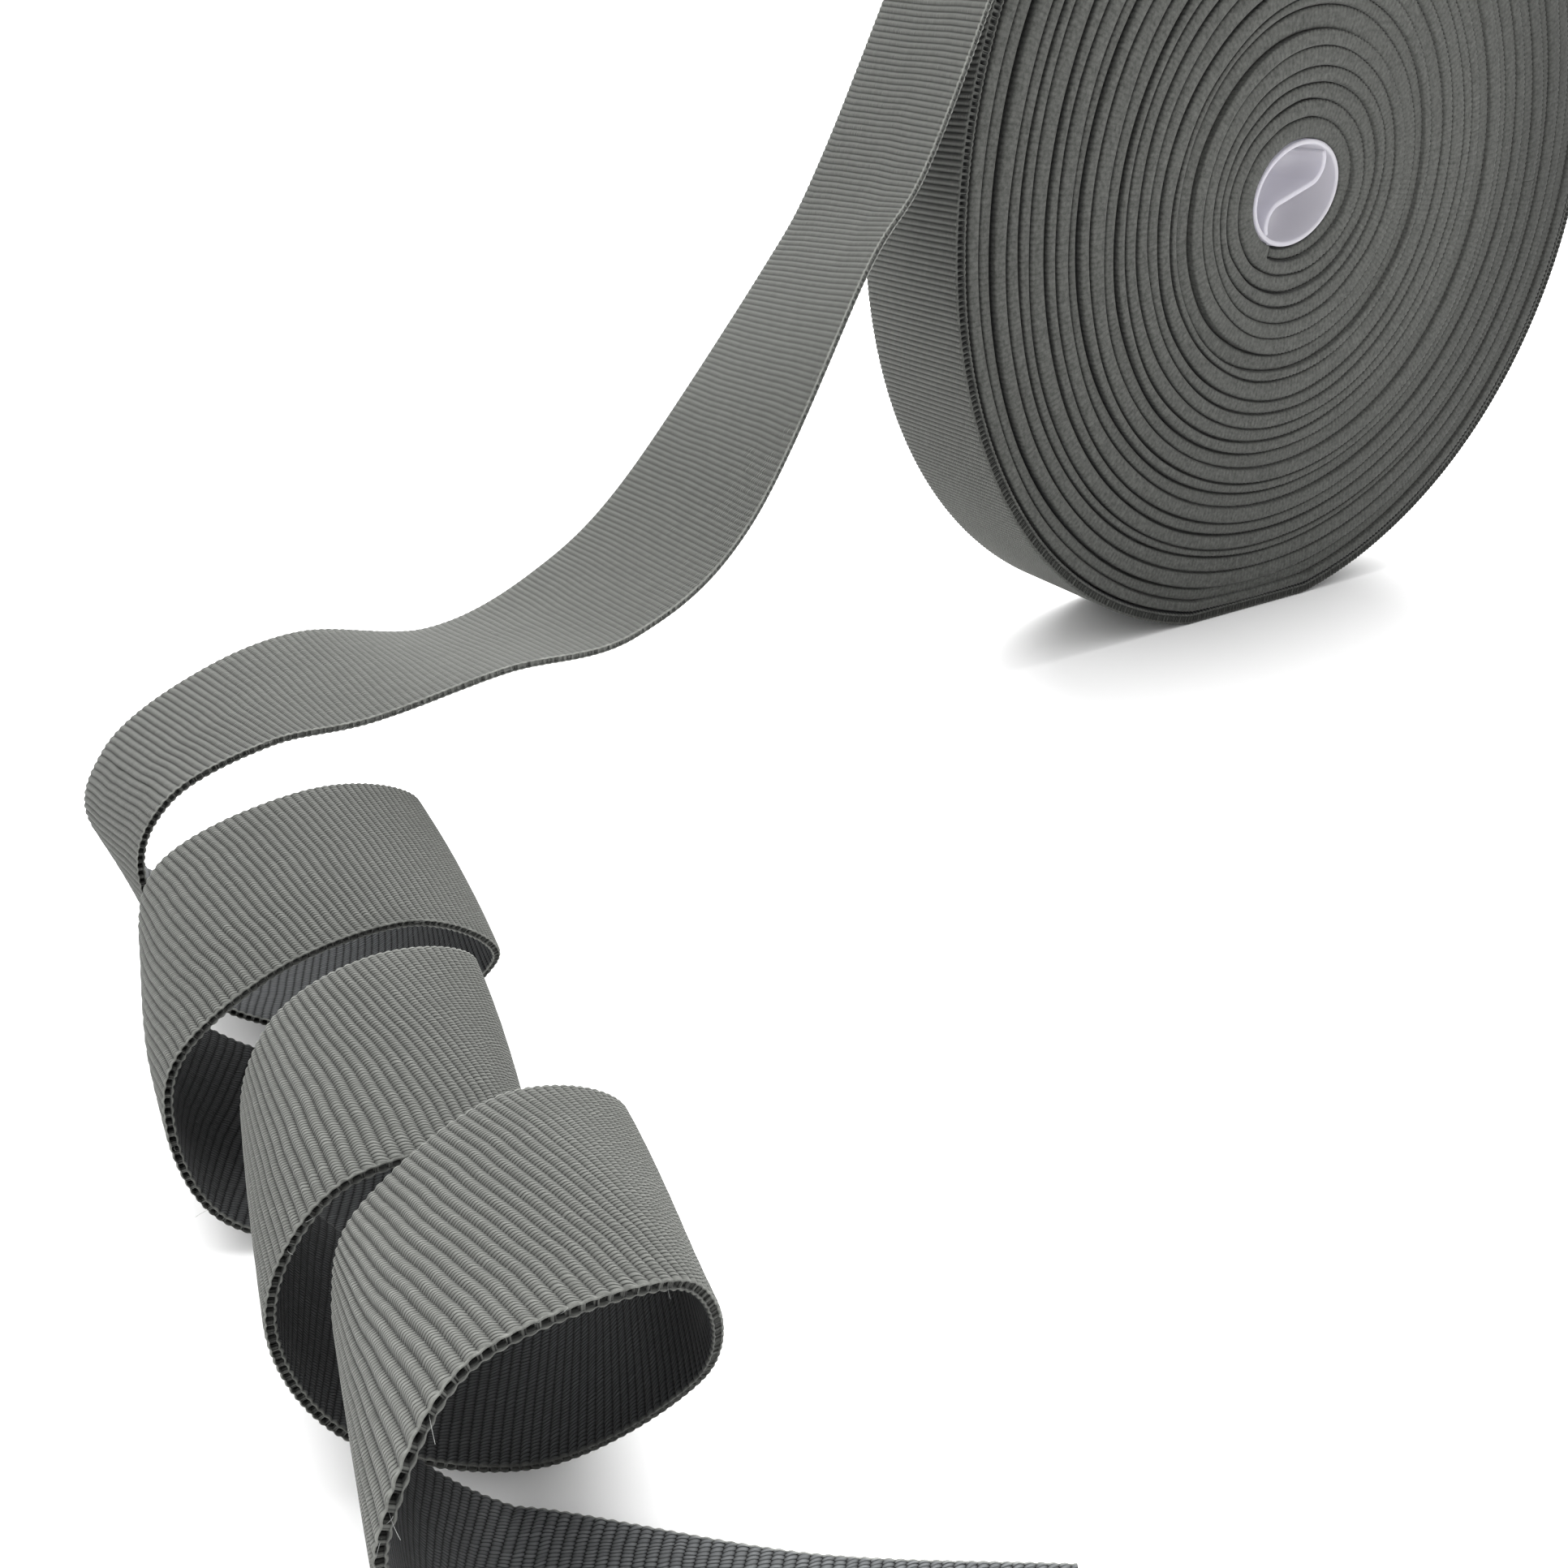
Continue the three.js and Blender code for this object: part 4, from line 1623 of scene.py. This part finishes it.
@dataclass
class StrayFibres:
    """Short fibres that stand off the loose end's selvedges, as one joined mesh.

    Attributes:
        strip: the length of ribbon that they grow from.
        count: how many are tried.
        seed: the seed of their chance.
        radius: a fibre's radius.
        joints: how many bends it has.
        spread: the shares of the loose end's length that they grow between.
        step: the shortest and longest distance between a fibre's bends.
        forward: how far at most it starts ahead or back, as a share of its start outwards.
        rise: how far it starts below and above the cloth, in the same way.
        curl: how far it bends at most.
        curl_share: how much of that each bend takes.
        root_across: how far from the middle line it starts.
        root_depth: how far below the outer face it starts.
        lowest_root: how high above the surface it starts at least, so that none reaches it.
        finish: the fibres' finish.
    """

    strip: Strip
    count: int = 70
    seed: int = 11
    radius: float = 0.016
    joints: int = 6
    spread: tuple = (0.25, 1.0)
    step: tuple = (0.12, 0.4)
    forward: float = 1.5
    rise: tuple = (-0.6, 0.9)
    curl: float = 0.35
    curl_share: float = 0.5
    root_across: float = 12.2
    root_depth: float = 0.5
    lowest_root: float = 4.0
    finish: LooseFibre = field(default_factory=LooseFibre)

    def build(self) -> bpy.types.Object:
        """Grows every fibre from a place on the near or far edge.

        Returns:
            The fibres.
        """
        chance = random.Random(self.seed)
        course = self.strip.course
        length = self.strip.last * self.strip.weave.rib_pitch
        bm = bmesh.new()
        for _ in range(self.count):
            along = chance.uniform(*self.spread) * length
            edge = Vector(self.strip.sampled(course.edge, np.array([along]))[0])
            middle, next_middle = (
                Vector(self.strip.sampled(course.middle, np.array([at]))[0])
                for at in (along, along + 1)
            )
            ahead = next_middle - middle
            outward = ahead.cross(edge).normalized()
            side = chance.choice((1, 1, -1))
            root = middle + edge * side * self.root_across - outward * self.root_depth
            aim = edge * side + ahead.normalized() * chance.uniform(-self.forward, self.forward)
            aim += outward * chance.uniform(*self.rise)
            if root.z > self.lowest_root:
                self.grow(bm, root * MM, aim.normalized(), chance)
        return new_piece("stray_fibres", bm)

    def grow(
        self, bm: bmesh.types.BMesh, root: Vector, aim: Vector, chance: random.Random
    ) -> None:
        """Adds one fibre: a three-sided tube that bends as it goes.

        Args:
            bm: the mesh that it is added to.
            root: where it starts, in metres.
            aim: the way that it starts.
            chance: the source of its length and bend.
        """
        step = chance.uniform(*self.step) * MM
        bend = Vector([chance.uniform(-1, 1) for _ in range(3)]) * self.curl
        place = Matrix.Translation(root) @ aim.to_track_quat("Z", "Y").to_matrix().to_4x4()
        made = bmesh.ops.create_circle(
            bm, cap_ends=True, segments=3, radius=self.radius * MM, matrix=place
        )
        faces = list({face for vert in made["verts"] for face in vert.link_faces})
        new_faces = list(faces)
        for _ in range(self.joints):
            aim = (aim + bend * self.curl_share).normalized()
            drawn = bmesh.ops.extrude_face_region(bm, geom=faces)["geom"]
            verts = [item for item in drawn if isinstance(item, bmesh.types.BMVert)]
            bmesh.ops.translate(bm, verts=verts, vec=aim * step)
            faces = [item for item in drawn if isinstance(item, bmesh.types.BMFace)]
            new_faces += faces
        corners = {vert for face in new_faces if face.is_valid for vert in face.verts}
        whole = {face for vert in corners for face in vert.link_faces}
        bmesh.ops.recalc_face_normals(bm, faces=list(whole))

    def dress(self, piece: bpy.types.Object) -> None:
        """Gives the fibres their finish.

        Args:
            piece: the built fibres.
        """
        piece.data.materials.append(self.finish.material())
        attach(piece, "root")
        log.info("%s: %d fibres tried", piece.name, self.count)


# ---------------------------------------------------------------- floor, light and camera


@dataclass
class Stage:
    """The pale floor, the soft light and the camera. Lengths are in metres.

    Attributes:
        floor_size: the floor's radius.
        camera_place: where the camera stands.
        camera_heading: how far it is turned from +Y towards +X, in degrees.
        camera_pitch: how far it looks down, in degrees.
        lens: its focal length, in millimetres.
        sensor: the width of its sensor, in millimetres.
        front_sky: the strength of the surround behind the camera.
        back_sky: its strength beyond the roll.
        horizon: its strength in a band along the horizon.
        horizon_height: where that band's middle lies, as the sine of its height.
        horizon_fade: how far from its middle it begins and ends to fade.
        sky_lift: how much height counts beside distance behind the roll.
        sky_fade: where the surround's two strengths begin and end.
        key_from: the direction that the soft light comes from.
        key_softness: how wide that light is, in degrees.
        key_power: its strength.
    """

    floor_size: float = 12.0
    camera_place: tuple = (-0.2271076, -0.1957033, 0.1076228)
    camera_heading: float = 32.09
    camera_pitch: float = 28.3156
    lens: float = 32.449
    sensor: float = 36.0
    front_sky: float = 0.52
    back_sky: float = 1.9
    horizon: float = 1.8
    horizon_height: float = 0.02
    horizon_fade: tuple = (0.03, 0.12)
    sky_lift: float = 0.3
    sky_fade: tuple = (-0.7, 0.7)
    key_from: tuple = (0.5, 0.75, 1.3)
    key_softness: float = 70.0
    key_power: float = 5.2

    def add_floor(self) -> None:
        """Lays a large pale floor on the plane that the roll stands on."""
        bm = bmesh.new()
        bmesh.ops.create_circle(bm, cap_ends=True, segments=64, radius=self.floor_size)
        floor = new_piece("floor", bm)
        floor.data.materials.append(PaleFloor().material())

    def add_surround(self) -> None:
        """Adds a pale surround, brighter behind the roll than in front of it."""
        world = bpy.data.worlds.new("surround")
        world.use_nodes = True
        g = Graph("surround", world.node_tree)
        direction = g.node("ShaderNodeTexCoord").outputs["Generated"]
        way = g.node("ShaderNodeSeparateXYZ", {}, {0: direction})
        behind, height = Signal(g, way.outputs["Y"]), Signal(g, way.outputs["Z"])
        horizon = g.math("ABSOLUTE", height - self.horizon_height).step(*self.horizon_fade)
        horizon = 1.0 - horizon
        behind_and_above = (behind + self.sky_lift * height).step(*self.sky_fade)
        sky = self.front_sky + (self.back_sky - self.front_sky) * behind_and_above
        strength = sky + (self.horizon - sky) * horizon
        inputs = {"Color": (1, 1, 1, 1), "Strength": strength}
        background = g.node("ShaderNodeBackground", {}, inputs)
        g.node("ShaderNodeOutputWorld", {}, {"Surface": background.outputs[0]})
        bpy.context.scene.world = world

    def add_light(self) -> None:
        """Adds one very soft light from behind and above."""
        light = bpy.data.lights.new("soft_key", "SUN")
        light.angle = math.radians(self.key_softness)
        light.energy = self.key_power
        key = bpy.data.objects.new("soft_key", light)
        key.rotation_mode = "QUATERNION"
        key.rotation_quaternion = Vector(self.key_from).to_track_quat("Z", "Y")
        bpy.context.scene.collection.objects.link(key)

    def add_camera(self) -> None:
        """Sets the camera close above the coils, looking down along the loose end to the roll."""
        data = bpy.data.cameras.new("camera")
        data.lens = self.lens
        data.sensor_width = self.sensor
        data.clip_start = 0.01
        camera = bpy.data.objects.new("camera", data)
        camera.location = self.camera_place
        aim = (90 - self.camera_pitch, 0, -self.camera_heading)
        camera.rotation_euler = [math.radians(angle) for angle in aim]
        bpy.context.scene.collection.objects.link(camera)
        bpy.context.scene.camera = camera
        bpy.context.scene.view_settings.view_transform = "Standard"

    def build(self) -> None:
        """Sets up the floor, the light and the camera."""
        self.add_floor()
        self.add_surround()
        self.add_light()
        self.add_camera()


def main() -> None:
    """Builds the stage, the core, the ribbon and its stray fibres in order."""
    logging.basicConfig(level=logging.INFO, format="%(name)s: %(message)s")
    Stage().build()
    core = Core()
    core.dress(core.build())
    ribbon = Ribbon()
    ribbon.dress(ribbon.build())
    fibres = StrayFibres(ribbon.strips[-1])
    fibres.dress(fibres.build())


if __name__ == "__main__":
    main()
